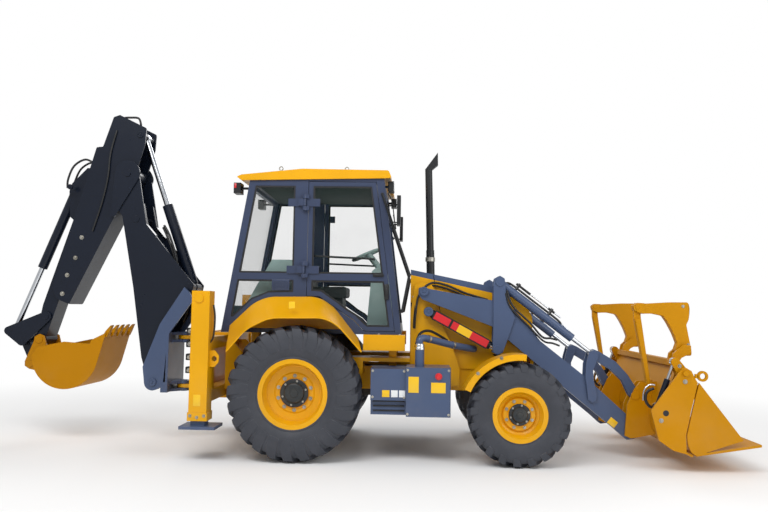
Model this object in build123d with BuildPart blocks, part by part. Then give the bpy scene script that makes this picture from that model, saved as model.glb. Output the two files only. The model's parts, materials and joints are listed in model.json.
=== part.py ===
from build123d import *
import os
from math import cos, hypot, pi, radians, sin, tan

# Backhoe loader with a sideshift backhoe, a telescopic dipper and a clamshell loader bucket.
# Millimetres. X runs forward, Y to the machine's left and Z up. Everything is drawn from the point on the
# ground under the rear axle, and keep() moves each finished piece so that the origin lies under the middle.

os.makedirs("parts", exist_ok=True)

# ---- driving dimensions ----
wheelbase = 2180
middle_x = 500  # the origin's distance ahead of the rear axle
sheet = 8  # pressed panels
plate_t = 25  # arm, tower and ear plates
run = 0.5  # radial clearance of a pin in its bore
gap = 5  # clearance between pieces that move past each other
seam = 0.3  # clearance between a pane and its frame

rear_tyre_r, rear_tyre_w, rear_tyre_y, rear_rim_r = 657, 480, 930, 338
front_tyre_r, front_tyre_w, front_tyre_y, front_rim_r = 498, 315, 975, 264
front_axle_z = front_tyre_r
rear_axle_z = rear_tyre_r
kingpin_y, kingpin_r = 850, 30

frame_y, frame_t = 300, 20  # frame rails: inner face and thickness
frame_bottom, frame_top = 640, 880

arm_y, arm_w = 530, 90  # centre plane and width of a loader arm
tower_t = 25  # plates that carry the loader arms
tower_y = arm_y - arm_w / 2 - 15 - tower_t
ear_gap = 8
arm_pivot = (1259, 1677)
lift_base = (1308, 1467)
lift_eye = (2020, 1088)
tilt_base = (2040, 1784)
lever_foot = (2977, 620)
lever_top = (2999, 1057)
bucket_pivot = (3366, 286)
link_pin = (3405, 655)
pin_r = 28

bucket_y = 1170  # half width over the loader bucket's sides
hood_half = 415
hood_pivot = (2350, 1040)
hood_pin_r = 12
hinge_y = 220  # outer face of the hood's hinge straps
clam_pivot = (3708, 929)
clam_rod_pin = (3640, 1030)
clam_base_pin = (3480, 600)
clam_cyl_y = 1060
fork_pivot = (3812, 1147)
tine_pivot = (3352, 1545)
fork_y, fork_w = 855, 80

leg_x0, leg_x1, leg_y0, leg_y1 = -995, -820, 985, 1165
leg_wall = 14
rail_x0, rail_x1 = -1000, -860
rail_low, rail_high, rail_h = 540, 1060, 120
carriage_y = 280
swing_x = -1400
boom_foot = (-1659, 661)
boom_lift_base = (-1590, 1030)
boom_lift_pin = (-1938, 2443)
tower_half = 285
boom_half, boom_t = 205, 18
dipper_pivot = (-2047, 2952)
crowd_base = (-1318, 1695)
crowd_pin = (-1935, 3395)
dipper_half, dipper_t = 175, 18
inner_half, inner_wall = 130, 12
slide_angle = -107.5  # direction in which the inner dipper extends
bucket_cyl_base = (-2711, 2798)
rocker_pivot = (-2930, 1344)
rocker_rod_pin = (-3350, 1182)
rocker_link_pin = (-3192, 1064)
hoe_link_pin = (-3075, 822)
hoe_pivot = (-2978, 1093)
hoe_half = 360


# ---- drawing helpers ----
def side(y=0):
    """Plane seen from the right: x forward, y up."""
    return Plane(origin=(0, y, 0), x_dir=(1, 0, 0), z_dir=(0, -1, 0))


def slab(outline, y0, y1, rounding=0, mode=Mode.ADD):
    """Side outline extruded from y0 to y1."""
    with BuildSketch(side(y1)) as face:
        with BuildLine():
            if rounding:
                FilletPolyline(*outline, radius=rounding, close=True)
            else:
                Polyline(*outline, close=True)
        make_face()
    extrude(face.sketch, amount=y1 - y0, mode=mode)


def slabs(outline, y0, y1, rounding=0, mode=Mode.ADD):
    """The same on both sides of the machine."""
    slab(outline, y0, y1, rounding, mode)
    slab(outline, -y1, -y0, rounding, mode)


def block(x0, x1, y0, y1, z0, z1, mode=Mode.ADD):
    """Rectangular block between two corners."""
    with Locations(((x0 + x1) / 2, (y0 + y1) / 2, (z0 + z1) / 2)):
        Box(x1 - x0, y1 - y0, z1 - z0, mode=mode)


def blocks(x0, x1, y0, y1, z0, z1, mode=Mode.ADD):
    """The same on both sides of the machine."""
    block(x0, x1, y0, y1, z0, z1, mode)
    block(x0, x1, -y1, -y0, z0, z1, mode)


def barrel_y(at, y0, y1, r, mode=Mode.ADD):
    """Round bar or bore along Y."""
    with Locations((at[0], (y0 + y1) / 2, at[1])):
        Cylinder(r, y1 - y0, rotation=(90, 0, 0), mode=mode)


def barrels_y(at, y0, y1, r, mode=Mode.ADD):
    """The same on both sides of the machine."""
    barrel_y(at, y0, y1, r, mode)
    barrel_y(at, -y1, -y0, r, mode)


def deck(outline, z0, z1, mode=Mode.ADD):
    """Plan outline extruded from z0 to z1."""
    with BuildSketch(Plane.XY.offset(z0)) as face:
        with BuildLine():
            Polyline(*outline, close=True)
        make_face()
    extrude(face.sketch, amount=z1 - z0, mode=mode)


def post(x, y, z0, z1, r, mode=Mode.ADD):
    """Upright round bar or bore."""
    with Locations((x, y, (z0 + z1) / 2)):
        Cylinder(r, z1 - z0, mode=mode)


def lobed(circles, y0, y1, mode=Mode.ADD):
    """Plate wrapped tightly about (side point, radius) circles."""
    with BuildSketch(side(y1)) as face:
        for at, r in circles:
            with Locations(at):
                Circle(r)
        make_hull()
    extrude(face.sketch, amount=y1 - y0, mode=mode)


def rod_between(a, b, y, r, mode=Mode.ADD):
    """Round bar from side point a to side point b in the plane at y."""
    length = hypot(b[0] - a[0], b[1] - a[1])
    start = Plane(origin=(a[0], y, a[1]), x_dir=(0, 1, 0), z_dir=(b[0] - a[0], 0, b[1] - a[1]))
    with Locations(start):
        Cylinder(r, length, align=(Align.CENTER, Align.CENTER, Align.MIN), mode=mode)


def along(a, b, distance):
    """Point at a distance from a towards b."""
    length = hypot(b[0] - a[0], b[1] - a[1])
    return (a[0] + (b[0] - a[0]) * distance / length, a[1] + (b[1] - a[1]) * distance / length)


def arc_band(centre, r0, r1, start, end, y0, y1):
    """Curved strip about a centre, between two angles in degrees."""
    with BuildSketch(side(y1)) as face:
        with BuildLine():
            outer = CenterArc(centre, r1, start, end - start)
            inner = CenterArc(centre, r0, start, end - start)
            Line(outer @ 0, inner @ 0)
            Line(outer @ 1, inner @ 1)
        make_face()
    extrude(face.sketch, amount=y1 - y0)


def bar(a, b, r):
    """Round bar between two points in space."""
    with Locations(Plane(origin=a, z_dir=tuple(Vector(*b) - Vector(*a)))):
        Cylinder(r, (Vector(*b) - Vector(*a)).length, align=(Align.CENTER, Align.CENTER, Align.MIN))


def keep(piece, name):
    """Move the finished piece to the machine's own origin and write it."""
    placed = piece.part.moved(Location((-middle_x, 0, 0)))
    placed.label = name
    export_step(placed, f"parts/{name}.step")


# ---- wheels ----
wheels = (  # name, axle x, axle z, centre y, tyre radius, width, rim radius, hub radius, lugs a side, lug height
    ("rear", 0, rear_axle_z, rear_tyre_y, rear_tyre_r, rear_tyre_w, rear_rim_r, 146, 22, 30),
    ("front", wheelbase, front_axle_z, front_tyre_y, front_tyre_r, front_tyre_w, front_rim_r, 112, 18, 22),
)
stub_r = {"rear": 80, "front": 60}
lug_slant = radians(32)
for name, axle_x, axle_z, centre_y, tyre_r, tyre_w, rim_r, hub_r, lug_count, lug_h in wheels:
    half = tyre_w / 2
    seat_r = rim_r - 30
    wall = 0.09 * tyre_w
    bulge_r = 0.62 * tyre_r + 0.38 * rim_r
    section = Plane(origin=(axle_x, -centre_y, axle_z), x_dir=(0, -1, 0), z_dir=(-1, 0, 0))
    axis = Axis((axle_x, 0, axle_z), (0, 1, 0))
    # Slanted tread lugs, each with a bar down the sidewall, trimmed to the tyre's outer form.
    tread, bars = [], []
    root_r = tyre_r - lug_h - 12
    lug_mid, bar_mid = 0.50 * half, 0.93 * half
    for hand in (-1, 1):
        for i in range(lug_count):
            turn = 2 * pi * (i + 0.25 + 0.25 * hand) / lug_count
            out, ahead = Vector(sin(turn), 0, -cos(turn)), Vector(cos(turn), 0, sin(turn))
            across = Vector(0, hand, 0)
            hub = Vector(axle_x, -centre_y, axle_z)
            tread.append(Plane(origin=hub + out * root_r + across * lug_mid,
                               x_dir=across * cos(lug_slant) + ahead * sin(lug_slant), z_dir=out))
            bars.append(Plane(origin=hub + out * (bulge_r - 0.16 * tyre_r) + across * bar_mid
                              + ahead * tan(lug_slant) * (bar_mid - lug_mid - 0.04 * half), x_dir=across, z_dir=out))
    lug_w = 0.33 * 2 * pi * tyre_r / lug_count
    low = (Align.CENTER, Align.CENTER, Align.MIN)
    with BuildPart() as lugs:
        with Locations(*tread):
            Box(0.98 * half / cos(lug_slant), lug_w, lug_h + 30, align=low)
        with Locations(*bars):
            Box(0.14 * half, 0.8 * lug_w, root_r + lug_h - bulge_r + 0.16 * tyre_r, align=low)
        with BuildSketch(section):
            with BuildLine():
                edge = [(0.90, bulge_r - 0.2 * tyre_r), (1.0, bulge_r), (0.97, 0.94 * tyre_r), (0.80, tyre_r)]
                Polyline(*[(half * f, r) for f, r in edge], *[(-half * f, r) for f, r in reversed(edge)], close=True)
            make_face()
        revolve(axis=axis, mode=Mode.INTERSECT)
    with BuildPart() as tyre:
        with BuildSketch(section):
            with BuildLine():
                outer = [(0.80, rim_r), (0.94, bulge_r), (0.89, 0.92 * tyre_r), (0.66, tyre_r - lug_h)]
                right = [(half * f, r) for f, r in outer]
                left = [(-y, r) for y, r in reversed(right)]
                inner = [(half * 0.80 - wall, seat_r), (half * 0.94 - wall, bulge_r), (half * 0.66 - wall, tyre_r - lug_h - wall)]
                Polyline((half * 0.80, seat_r), *right, *left, (-half * 0.80, seat_r),
                         *[(-y, r) for y, r in inner], *reversed(inner), close=True)
            make_face()
        revolve(axis=axis)
        add(lugs.part)
    keep(tyre, f"{name}_tyre_right")
    dish = 0.15 * tyre_w  # the disc sits inboard of the tyre's middle
    with BuildPart() as rim:
        with BuildSketch(section):
            with BuildLine():
                Polyline((half * 0.80 + 10, rim_r), (half * 0.80 + 10, seat_r - 14), (half * 0.45, seat_r - 40),
                         (dish, seat_r - 40), (dish - 15, hub_r + 55), (half * 0.1 + 40, hub_r + 40),
                         (half * 0.1 + 40, hub_r), (half * 0.1 + 60, hub_r - 8), (half * 0.1 + 60, 0),
                         (-half * 0.2, 0), (-half * 0.2, hub_r + 40), (dish - 60, seat_r - 60),
                         (-half * 0.80, seat_r - 14), (-half * 0.80 - 10, seat_r - 14),
                         (-half * 0.80 - 10, rim_r), (-half * 0.80, rim_r), (-half * 0.80, seat_r),
                         (half * 0.80, seat_r), (half * 0.80, rim_r), close=True)
            make_face()
        revolve(axis=axis)
        inside = -centre_y + half * 0.2
        barrel_y((axle_x, axle_z), inside - 60, inside + 1, stub_r[name] + run, Mode.SUBTRACT)
    keep(rim, f"{name}_rim_right")
    for part_name, piece in (("tyre", tyre), ("rim", rim)):
        with BuildPart() as left_piece:
            mirror(piece.part, about=Plane.XZ)
        keep(left_piece, f"{name}_{part_name}_left")

# ---- axles and knuckles ----
with BuildPart() as rear_axle:
    barrel_y((0, rear_axle_z), -560, 560, 120)
    with Locations((0, 0, rear_axle_z)):
        Sphere(215)
    block(-110, 110, -frame_y - frame_t, frame_y + frame_t, 700, 778)
    for s in (-1, 1):
        y0, y1 = sorted((s * 560, s * 600))
        barrel_y((0, rear_axle_z), y0, y1, 170)
        y0, y1 = sorted((s * 600, s * (rear_tyre_y - 0.1 * rear_tyre_w - gap)))
        barrel_y((0, rear_axle_z), y0, y1, 140)
        y0, y1 = sorted((s * 600, s * (rear_tyre_y - 0.1 * rear_tyre_w + 50)))
        barrel_y((0, rear_axle_z), y0, y1, stub_r["rear"])
keep(rear_axle, "rear_axle")

knuckle_low, knuckle_high = front_axle_z - 95, front_axle_z + 95
knuckle_t = 25
axle_end_r = 44
with BuildPart() as front_axle:
    barrel_y((wheelbase, front_axle_z), -kingpin_y + 90, kingpin_y - 90, 62)
    with Locations((wheelbase, 0, front_axle_z)):
        Sphere(150)
    barrel_y((wheelbase, front_axle_z + 10), -90, 90, 90)
    end_low, end_high = knuckle_low + knuckle_t + gap, knuckle_high - knuckle_t - gap
    blocks(wheelbase - 65, wheelbase + 65, kingpin_y - 150, kingpin_y - 80, end_low, end_high)
    blocks(wheelbase - axle_end_r, wheelbase + axle_end_r, kingpin_y - 90, kingpin_y, end_low, end_high)
    for y in (-kingpin_y, kingpin_y):
        post(wheelbase, y, end_low, end_high, axle_end_r)
        post(wheelbase, y, knuckle_low + 4, knuckle_high - 4, kingpin_r)
    block(wheelbase - 90, wheelbase + 90, -70, 70, front_axle_z + 80, 660 - 0.3)
keep(front_axle, "front_axle")

# The fender turns with the wheel and hangs from a strap on the knuckle's top plate.
fender_r = front_tyre_r + 70
fender_in, fender_out = front_tyre_y - 152, front_tyre_y + 138
fender_strap = [(-60, 70), (50, 70), (50, 100), (0, 130), (-225, 330), (-285, 488), (-325, 470), (-262, 310), (-60, 130)]
with BuildPart() as knuckle_right:
    hub_face = front_tyre_y - 0.1 * front_tyre_w - gap
    for z in (knuckle_low, knuckle_high - knuckle_t):
        block(wheelbase - 60, wheelbase + 60, -hub_face, -kingpin_y + 50, z, z + knuckle_t)
    block(wheelbase - 60, wheelbase + 60, -hub_face, -kingpin_y - axle_end_r - 6, knuckle_low, knuckle_high)
    post(wheelbase, -kingpin_y, knuckle_low - 1, knuckle_high + 1, kingpin_r + run, Mode.SUBTRACT)
    barrel_y((wheelbase, front_axle_z), -hub_face - gap - 50, -hub_face + 10, stub_r["front"])
    arc_band((wheelbase, front_axle_z), fender_r, fender_r + 10, 84, 156, -fender_out, -fender_in)
    arc_band((wheelbase, front_axle_z), fender_r - 50, fender_r + 5, 84, 156, -fender_out, -fender_out + 10)
    arc_band((wheelbase, front_axle_z), fender_r - 50, fender_r + 5, 84, 156, -fender_in - 10, -fender_in)
    slab([(wheelbase + x, front_axle_z + z) for x, z in fender_strap], -fender_in + 12, -fender_in + 30)
    block(wheelbase - 318, wheelbase - 285, -fender_in - 10, -fender_in + 30, front_axle_z + 452, front_axle_z + 478)
keep(knuckle_right, "knuckle_right")
with BuildPart() as knuckle_left:
    mirror(knuckle_right.part, about=Plane.XZ)
keep(knuckle_left, "knuckle_left")

# ---- main frame: rails, crossmembers and the towers that carry the loader arms ----
tower = [(1120, 700), (1130, 1500), (1165, 1745), (1240, 1772), (1330, 1765), (1370, 1700), (1400, 1450), (1560, 1120),
         (1640, 880), (1640, 700)]
rail_side = [(-860, 700), (-860, 1112), (-780, 1112), (-560, frame_top), (2430, frame_top), (2430, frame_bottom + 80),
             (2330, frame_bottom), (160, frame_bottom), (160, 778), (-160, 778), (-160, frame_bottom), (-560, frame_bottom), (-780, 603), (-860, 603)]
with BuildPart() as main_frame:
    slabs(rail_side, frame_y, frame_y + frame_t)
    for x0, x1, z0, z1 in ((-700, -660, 660, 860), (420, 460, 660, 860), (hood_pivot[0] - 20, hood_pivot[0] + 20, 660, 940)):
        block(x0, x1, -frame_y, frame_y, z0, z1)
    slabs([(hood_pivot[0] - 20, 939), (hood_pivot[0] + 20, 939), (hood_pivot[0] + 20, hood_pivot[1]),
           (hood_pivot[0] - 20, hood_pivot[1])], hinge_y + gap, hinge_y + gap + 20)
    barrels_y(hood_pivot, hinge_y + gap, hinge_y + gap + 20, 24)
    barrel_y(hood_pivot, -hinge_y - gap - 26, hinge_y + gap + 26, hood_pin_r)
    blocks(700, 760, 200, frame_y, 700, 760)
    blocks(1700, 1760, 250, frame_y, 790, 850)
    blocks(-560, -480, frame_y, frame_y + 120, frame_top, 1228)
    blocks(900, 980, frame_y, frame_y + 120, frame_top, 1228)
    block(2060, 2300, -frame_y, frame_y, 660, 690)
    block(2400, 2430, -frame_y, frame_y, 660, 1000)
    slabs(tower, tower_y, tower_y + tower_t)
    blocks(1150, 1240, frame_y + frame_t, tower_y, 700, 860)
    blocks(1500, 1600, frame_y + frame_t, tower_y, 700, 860)
    for at in (arm_pivot, lift_base):
        barrels_y(at, tower_y + tower_t, arm_y + arm_w / 2 + 20, pin_r)
        barrels_y(at, tower_y + tower_t, arm_y - arm_w / 2 - gap, 70)
        barrels_y(at, arm_y + arm_w / 2 + gap, arm_y + arm_w / 2 + 20, 46)
    blocks(150, 1120, frame_y + frame_t, 640, 950, 990)
    blocks(560, 640, frame_y + frame_t, 640, 820, 950)
keep(main_frame, "main_frame")

# ---- rear frame: sideshift rails and the stabilisers' outer legs ----
leg_mid_x, leg_mid_y = (leg_x0 + leg_x1) / 2, (leg_y0 + leg_y1) / 2
leg_low, leg_high = 390, 1637
with BuildPart() as rear_frame:
    for z in (rail_low, rail_high):
        block(rail_x0, rail_x1, -leg_y0, leg_y0, z, z + rail_h)
    blocks(leg_x0, leg_x1, leg_y0, leg_y1, leg_low, leg_high)
    blocks(leg_x0 + leg_wall, leg_x1 - leg_wall, leg_y0 + leg_wall, leg_y1 - leg_wall, leg_low, leg_high - leg_wall,
           Mode.SUBTRACT)
    # Wear pads guide the sliding leg at the mouth of its tube.
    pad_t = gap - seam
    for x0 in (leg_x0 + leg_wall, leg_x1 - leg_wall - pad_t):
        blocks(x0, x0 + pad_t, leg_mid_y - 45, leg_mid_y + 45, leg_low + 10, leg_low + 80)
    for y0 in (leg_y0 + leg_wall, leg_y1 - leg_wall - pad_t):
        blocks(leg_mid_x - 45, leg_mid_x + 45, y0, y0 + pad_t, leg_low + 10, leg_low + 80)
    for x0, x1, y0, y1 in ((leg_x0 - 8, leg_x1 + 8, leg_y1, leg_y1 + 8), (leg_x0 - 8, leg_x1 + 8, leg_y0 - 8, leg_y0),
                           (leg_x0 - 8, leg_x0, leg_y0, leg_y1), (leg_x1, leg_x1 + 8, leg_y0, leg_y1)):
        blocks(x0, x1, y0, y1, leg_low, leg_low + 80)
    blocks(rail_x0 + 20, rail_x0 + 40, 600, leg_y0, rail_low + rail_h, rail_high)
    blocks(-860, -840, 850, leg_y0, 560, 1160)
    barrels_y((-920, 1565), leg_y1, leg_y1 + 12, 42)
    with BuildSketch(side(leg_mid_y - 12)) as lug:
        with BuildLine():
            Polyline((-822, 900), (-822, 1060), (-775, 1060), (-735, 1010), (-735, 950), (-775, 900), close=True)
        make_face()
        with Locations((-780, 980)):
            Circle(25, mode=Mode.SUBTRACT)
    extrude(lug.sketch, amount=-24)
    lug_left = mirror(lug.sketch, about=Plane.XZ, mode=Mode.PRIVATE)
    extrude(lug_left, amount=-24)
keep(rear_frame, "rear_frame")

inner_x = leg_x1 - leg_x0 - 2 * leg_wall - 2 * gap
inner_y = leg_y1 - leg_y0 - 2 * leg_wall - 2 * gap
for hand, s in (("left", 1), ("right", -1)):
    with BuildPart() as stabiliser:
        with Locations((leg_mid_x, s * leg_mid_y, 345)):
            Box(inner_x, inner_y, 1200, align=(Align.CENTER, Align.CENTER, Align.MIN))
        block(-1067, -719, s * leg_mid_y - 150, s * leg_mid_y + 150, 316, 345)
    keep(stabiliser, f"stabiliser_{hand}")

# ---- engine with its gearbox ----
engine_top = 1520
with BuildPart() as engine:
    block(1430, 2130, -250, 250, 780, engine_top)
    block(480, 1430, -200, 200, 560, 860)
    chamfer(engine.edges().filter_by(Axis.X).group_by(Axis.Z)[-1], 60)
keep(engine, "engine")

# ---- hood: fixed cowl behind, tilting hood in front ----
lid_plane = Plane(origin=(1134, 0, 1850), x_dir=(0, 1, 0), z_dir=(178, 0, 859))  # the lids' lower edge
pipe_x, pipe_y = 1333, -250
with BuildPart() as cowl_shell:
    slab([(1120, 1909), (1354, 1863), (1500, 1118), (1500, 900), (1120, 900)], -hood_half, hood_half)
    slab([(1120 + sheet, 1909 - 2 - sheet), (1400, 1854 - sheet), (1540, 1118), (1540, 880), (1120 + sheet, 880)],
         -hood_half + sheet, hood_half - sheet, mode=Mode.SUBTRACT)
    post(pipe_x, pipe_y, 1700, 1990, 50, Mode.SUBTRACT)
with BuildPart() as hood_shell:
    slab([(1360, 1862), (1992, 1738), (2300, 1600), (2400, 1430), (2400, 1035), (1990, 1035), (1506, 1118)],
         -hood_half, hood_half, [0, 60, 120, 80, 0, 0, 0])
    slab([(1300, 1862), (1992 - 1, 1738 - sheet), (2300 - 5, 1600 - sheet), (2400 - sheet, 1430),
          (2400 - sheet, 1000), (1300, 1000)], -hood_half + sheet, hood_half - sheet, [0, 60, 112, 72, 0, 0], Mode.SUBTRACT)
    post(pipe_x, pipe_y, 1700, 1990, 62, Mode.SUBTRACT)
    slabs([(hood_pivot[0], hood_pivot[1] - 26), (2400 - sheet + 1, 1036), (2400 - sheet + 1, 1110),
           (hood_pivot[0], hood_pivot[1] + 26)], hinge_y - 25, hinge_y)
    barrels_y(hood_pivot, hinge_y - 25, hinge_y, 26)
    barrels_y(hood_pivot, hinge_y - 26, hinge_y + 1, hood_pin_r + run, Mode.SUBTRACT)
for shell, low_name, lid_name in ((cowl_shell, "cowl", "cowl_lid"), (hood_shell, "hood", "hood_lid")):
    with BuildPart() as below:
        add(shell.part)
        split(bisect_by=lid_plane, keep=Keep.BOTTOM)
    keep(below, low_name)
    with BuildPart() as lid:
        add(shell.part)
        split(bisect_by=lid_plane, keep=Keep.TOP)
    keep(lid, lid_name)

# The silencer lies on the engine and carries the upright pipe.
with BuildPart() as exhaust:
    with Locations(Plane(origin=(1290, -170, engine_top + seam + 80), x_dir=(0, 1, 0), z_dir=(1, 0, 0))):
        Cylinder(80, 460, align=(Align.CENTER, Align.CENTER, Align.MIN))
    with Locations(Plane(origin=(pipe_x + 9, pipe_y, 1590), z_dir=(-0.03, 0, 1))):
        Cylinder(44, 540, align=(Align.CENTER, Align.CENTER, Align.MIN))
        Cylinder(39, 1430, align=(Align.CENTER, Align.CENTER, Align.MIN))
    slab([(1262, 3010), (1340, 3010), (1400, 3060), (1396, 3195)], pipe_y - 39, pipe_y + 39)
keep(exhaust, "exhaust")

# ---- side tanks ----
tank_x0, tank_mid, tank_x1 = wheelbase - 1434, wheelbase - 1089, wheelbase - 660
tank_in = 640
with BuildPart() as side_tanks:
    block(tank_x0, tank_mid, -1050, -tank_in, 608, 911)
    block(tank_x0, tank_mid, -1000, -tank_in, 466, 608)
    block(tank_mid, tank_x1, -1080, -tank_in, 460, 930)
    block(tank_x0, tank_x1, tank_in, 1050, 460, 930)
    fillet(side_tanks.edges().filter_by(Axis.Z).group_by(Axis.X)[-1], 22)
    post(tank_mid + 127, -950, 929, 1120, 45)
    blocks(tank_x0 + 14, tank_x1 - 420, frame_y + frame_t, tank_in + 1, 700, 740)
keep(side_tanks, "side_tanks")

# ---- cab ----
cab_half, cab_wall = 735, 45
cab_floor = 1228
cab_hull = [(-814, cab_floor), (-556, 2795), (835, 2825), (1030, 1250), (1030, cab_floor)]
cab_void = [(-761, cab_floor + cab_wall), (-518, 2795 - cab_wall), (797, 2825 - cab_wall), (980, cab_floor + cab_wall)]
arch_in = [(-711, 1298), (-469, 1532), (-321, 1594), (188, 1602), (355, 1486), (599, 1180)]
arch_lip = [(-655, 1054), (-469, 1275), (-244, 1389), (296, 1398), (439, 1318), (662, 1073)]
arch_round, lip_round = [0, 380, 380, 300, 400, 0], [0, 380, 380, 300, 380, 0]
liner_y = cab_half - 73
door_in = cab_half - 35
door_sweep = [(188, 1607), (355, 1497), (450, 1434), (542, 1376), (625, 1292), (662, 1262)]
door_outline = [(60, 1607), *door_sweep, (962, 1262), (752, 2785), (60, 2785)]
door_opening = [(60 - gap, 1585), (190, 1580), (355, 1484), (450, 1426), (542, 1368), (622, 1285), (658, 1262 - gap),
                (962 + gap, 1262 - gap), (752 + gap, 2785 + gap), (60 - gap, 2785 + gap)]
door_upper = [(105, 1838), (105, 2742), (712, 2742), (838, 1838)]
door_lower = [(105, 1770), (105, 1660), (205, 1655), (375, 1540), (470, 1466), (560, 1414), (645, 1333), (682, 1305),
              (912, 1305), (848, 1770)]
quarter_upper = [(-78, 1838), (-78, 2742), (-495, 2742), (-645, 1838)]
quarter_lower = [(-78, 1770), (-78, 1645), (-330, 1637), (-500, 1565), (-690, 1385), (-718, 1385), (-656, 1770)]
screen_z0, screen_z1, screen_half = 1330, 2740, 650
rear_z0, rear_z1 = 1500, 2710

with BuildPart() as cab_frame:
    slab(cab_hull, -cab_half, cab_half)
    slab(cab_void, -cab_half + cab_wall, cab_half - cab_wall, mode=Mode.SUBTRACT)
    slabs([(-711, 1100), *arch_in, (599, 1100)], liner_y, cab_half + 5, [0, *arch_round, 0], Mode.SUBTRACT)
    slabs(door_opening, cab_half - cab_wall - 5, cab_half + 5, mode=Mode.SUBTRACT)
    for window in (quarter_upper, quarter_lower):
        slabs(window, cab_half - cab_wall - 5, cab_half + 5, mode=Mode.SUBTRACT)
    block(700, 1100, -screen_half, screen_half, screen_z0, screen_z1, Mode.SUBTRACT)
    block(-900, -400, -screen_half, screen_half, rear_z0, rear_z1, Mode.SUBTRACT)
    for z in (1875, 2567):
        blocks(-150, 18, cab_half, cab_half + 14, z - 40, z + 40)
        with Locations((20, cab_half + 25, z), (20, -cab_half - 25, z)):
            Cylinder(20, 70)
            Cylinder(8, 160)
            Box(60, 28, 70, align=(Align.MAX, Align.CENTER, Align.CENTER))
keep(cab_frame, "cab_frame")


def pane(outline, y0, y1):
    """Glass that fits a window with a fine seam all round."""
    with BuildSketch(side(y1)) as face:
        with BuildLine():
            Polyline(*outline, close=True)
        make_face()
        offset(amount=-seam, mode=Mode.REPLACE)
    extrude(face.sketch, amount=y1 - y0)


def wall_x(z, inner=0):
    """The windscreen wall's outer X at a height, less a depth."""
    return 835 + (2825 - z) * (1030 - 835) / (2825 - 1250) - inner


def rear_x(z, inner=0):
    """The rear wall's outer X at a height, plus a depth."""
    return -556 - (2795 - z) * (814 - 556) / (2795 - cab_floor) + inner


with BuildPart() as cab_glass:
    for s in (-1, 1):
        for window in (quarter_upper, quarter_lower):
            y0, y1 = sorted((s * (cab_half - 22), s * (cab_half - 16)))
            pane(window, y0, y1)
    z0, z1 = screen_z0 + seam, screen_z1 - seam
    slab([(wall_x(z0, 20), z0), (wall_x(z1, 20), z1), (wall_x(z1, 14), z1), (wall_x(z0, 14), z0)],
         -screen_half + seam, screen_half - seam)
    z0, z1 = rear_z0 + seam, rear_z1 - seam
    slab([(rear_x(z0, 20), z0), (rear_x(z1, 20), z1), (rear_x(z1, 14), z1), (rear_x(z0, 14), z0)],
         -screen_half + seam, screen_half - seam)
keep(cab_glass, "cab_glass")

with BuildPart() as door_right:
    slab(door_outline, -cab_half, -door_in)
    for window in (door_upper, door_lower):
        slab(window, -cab_half - 5, -door_in + 5, mode=Mode.SUBTRACT)
    for z in (1875, 2567):
        block(42, 180, -cab_half - 14, -cab_half, z - 40, z + 40)
        for dz in (-62, 62):
            with Locations((20, -cab_half - 25, z + dz)):
                Cylinder(20, 44)
                Cylinder(8 + run, 44, mode=Mode.SUBTRACT)
            block(30, 60, -cab_half - 39, -cab_half - 11, z + dz - 20, z + dz + 20)
            with Locations((20, -cab_half - 25, z + dz)):
                Cylinder(8 + run, 44, mode=Mode.SUBTRACT)
        block(42, 70, -cab_half - 39, -cab_half, z - 80, z - 40)
        block(42, 70, -cab_half - 39, -cab_half, z + 40, z + 80)
keep(door_right, "door_right")
with BuildPart() as door_left:
    mirror(door_right.part, about=Plane.XZ)
keep(door_left, "door_left")
for hand, s in (("left", 1), ("right", -1)):
    with BuildPart() as door_glass:
        y0, y1 = sorted((s * (cab_half - 22), s * (cab_half - 16)))
        for window in (door_upper, door_lower):
            pane(window, y0, y1)
    keep(door_glass, f"door_glass_{hand}")

with BuildPart() as cab_roof:
    slab([(-692, 2828), (-640, 2793.2), (-556, 2795), (835, 2825), (912, 2832), (880, 2908), (-11, 2917), (-640, 2852)],
         -cab_half - 25, cab_half + 25, [8, 0, 0, 0, 12, 30, 300, 24])
keep(cab_roof, "cab_roof")

# Lamps under the roof's ends, mirrors on the front pillars and a grab tube ahead of each door.
grab_top, grab_bend, grab_foot = (820, 2655), (1107, 1837), (1039, 1467)
with BuildPart() as cab_fittings:
    for s in (-1, 1):
        y0, y1 = sorted((s * 545, s * 690))
        for x0, x1, z0, z1 in ((-735, -662, 2668, 2778), (872, 935, 2700, 2806)):
            block(x0, x1, y0, y1, z0, z1)
        fillet(cab_fittings.faces().sort_by(Axis.Y)[0 if s < 0 else -1].edges().filter_by(Axis.Z), 14)
        y0, y1 = sorted((s * 600, s * 630))
        slab([(-664, 2716), (rear_x(2716, -seam), 2716), (rear_x(2738, -seam), 2738), (-664, 2738)], y0, y1)
        slab([(874, 2745), (wall_x(2745, -seam), 2745), (wall_x(2770, -seam), 2770), (874, 2770)], y0, y1)
        y0, y1 = sorted((s * 690, s * 728))
        for z0, z1, deep in ((2325, 2365, 9), (2525, 2565, 9), (1450, 1484, 42)):
            slab([(wall_x(z0, -seam), z0), (wall_x(z0, -deep), z0), (wall_x(z1, -deep), z1), (wall_x(z1, -seam), z1)],
                 y0, y1)
        y0, y1 = sorted((s * 800, s * 960))
        block(974, 1012, y0, y1, 2325, 2620)
        for z in (2345, 2545):
            bar((wall_x(z, -8), s * 710, z), (990, s * 830, z), 8)
        rod_between(grab_top, grab_bend, s * 800, 14)
        rod_between(grab_bend, grab_foot, s * 800, 14)
        for at in (grab_top, grab_bend, grab_foot):
            with Locations((at[0], s * 800, at[1])):
                Sphere(15.5)
        y0, y1 = sorted((s * (cab_half + seam), s * 800))
        barrel_y(grab_top, y0, y1, 13)
        y0, y1 = sorted((s * 700, s * 800))
        barrel_y(grab_foot, y0, y1, 13)
keep(cab_fittings, "cab_fittings")

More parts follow.
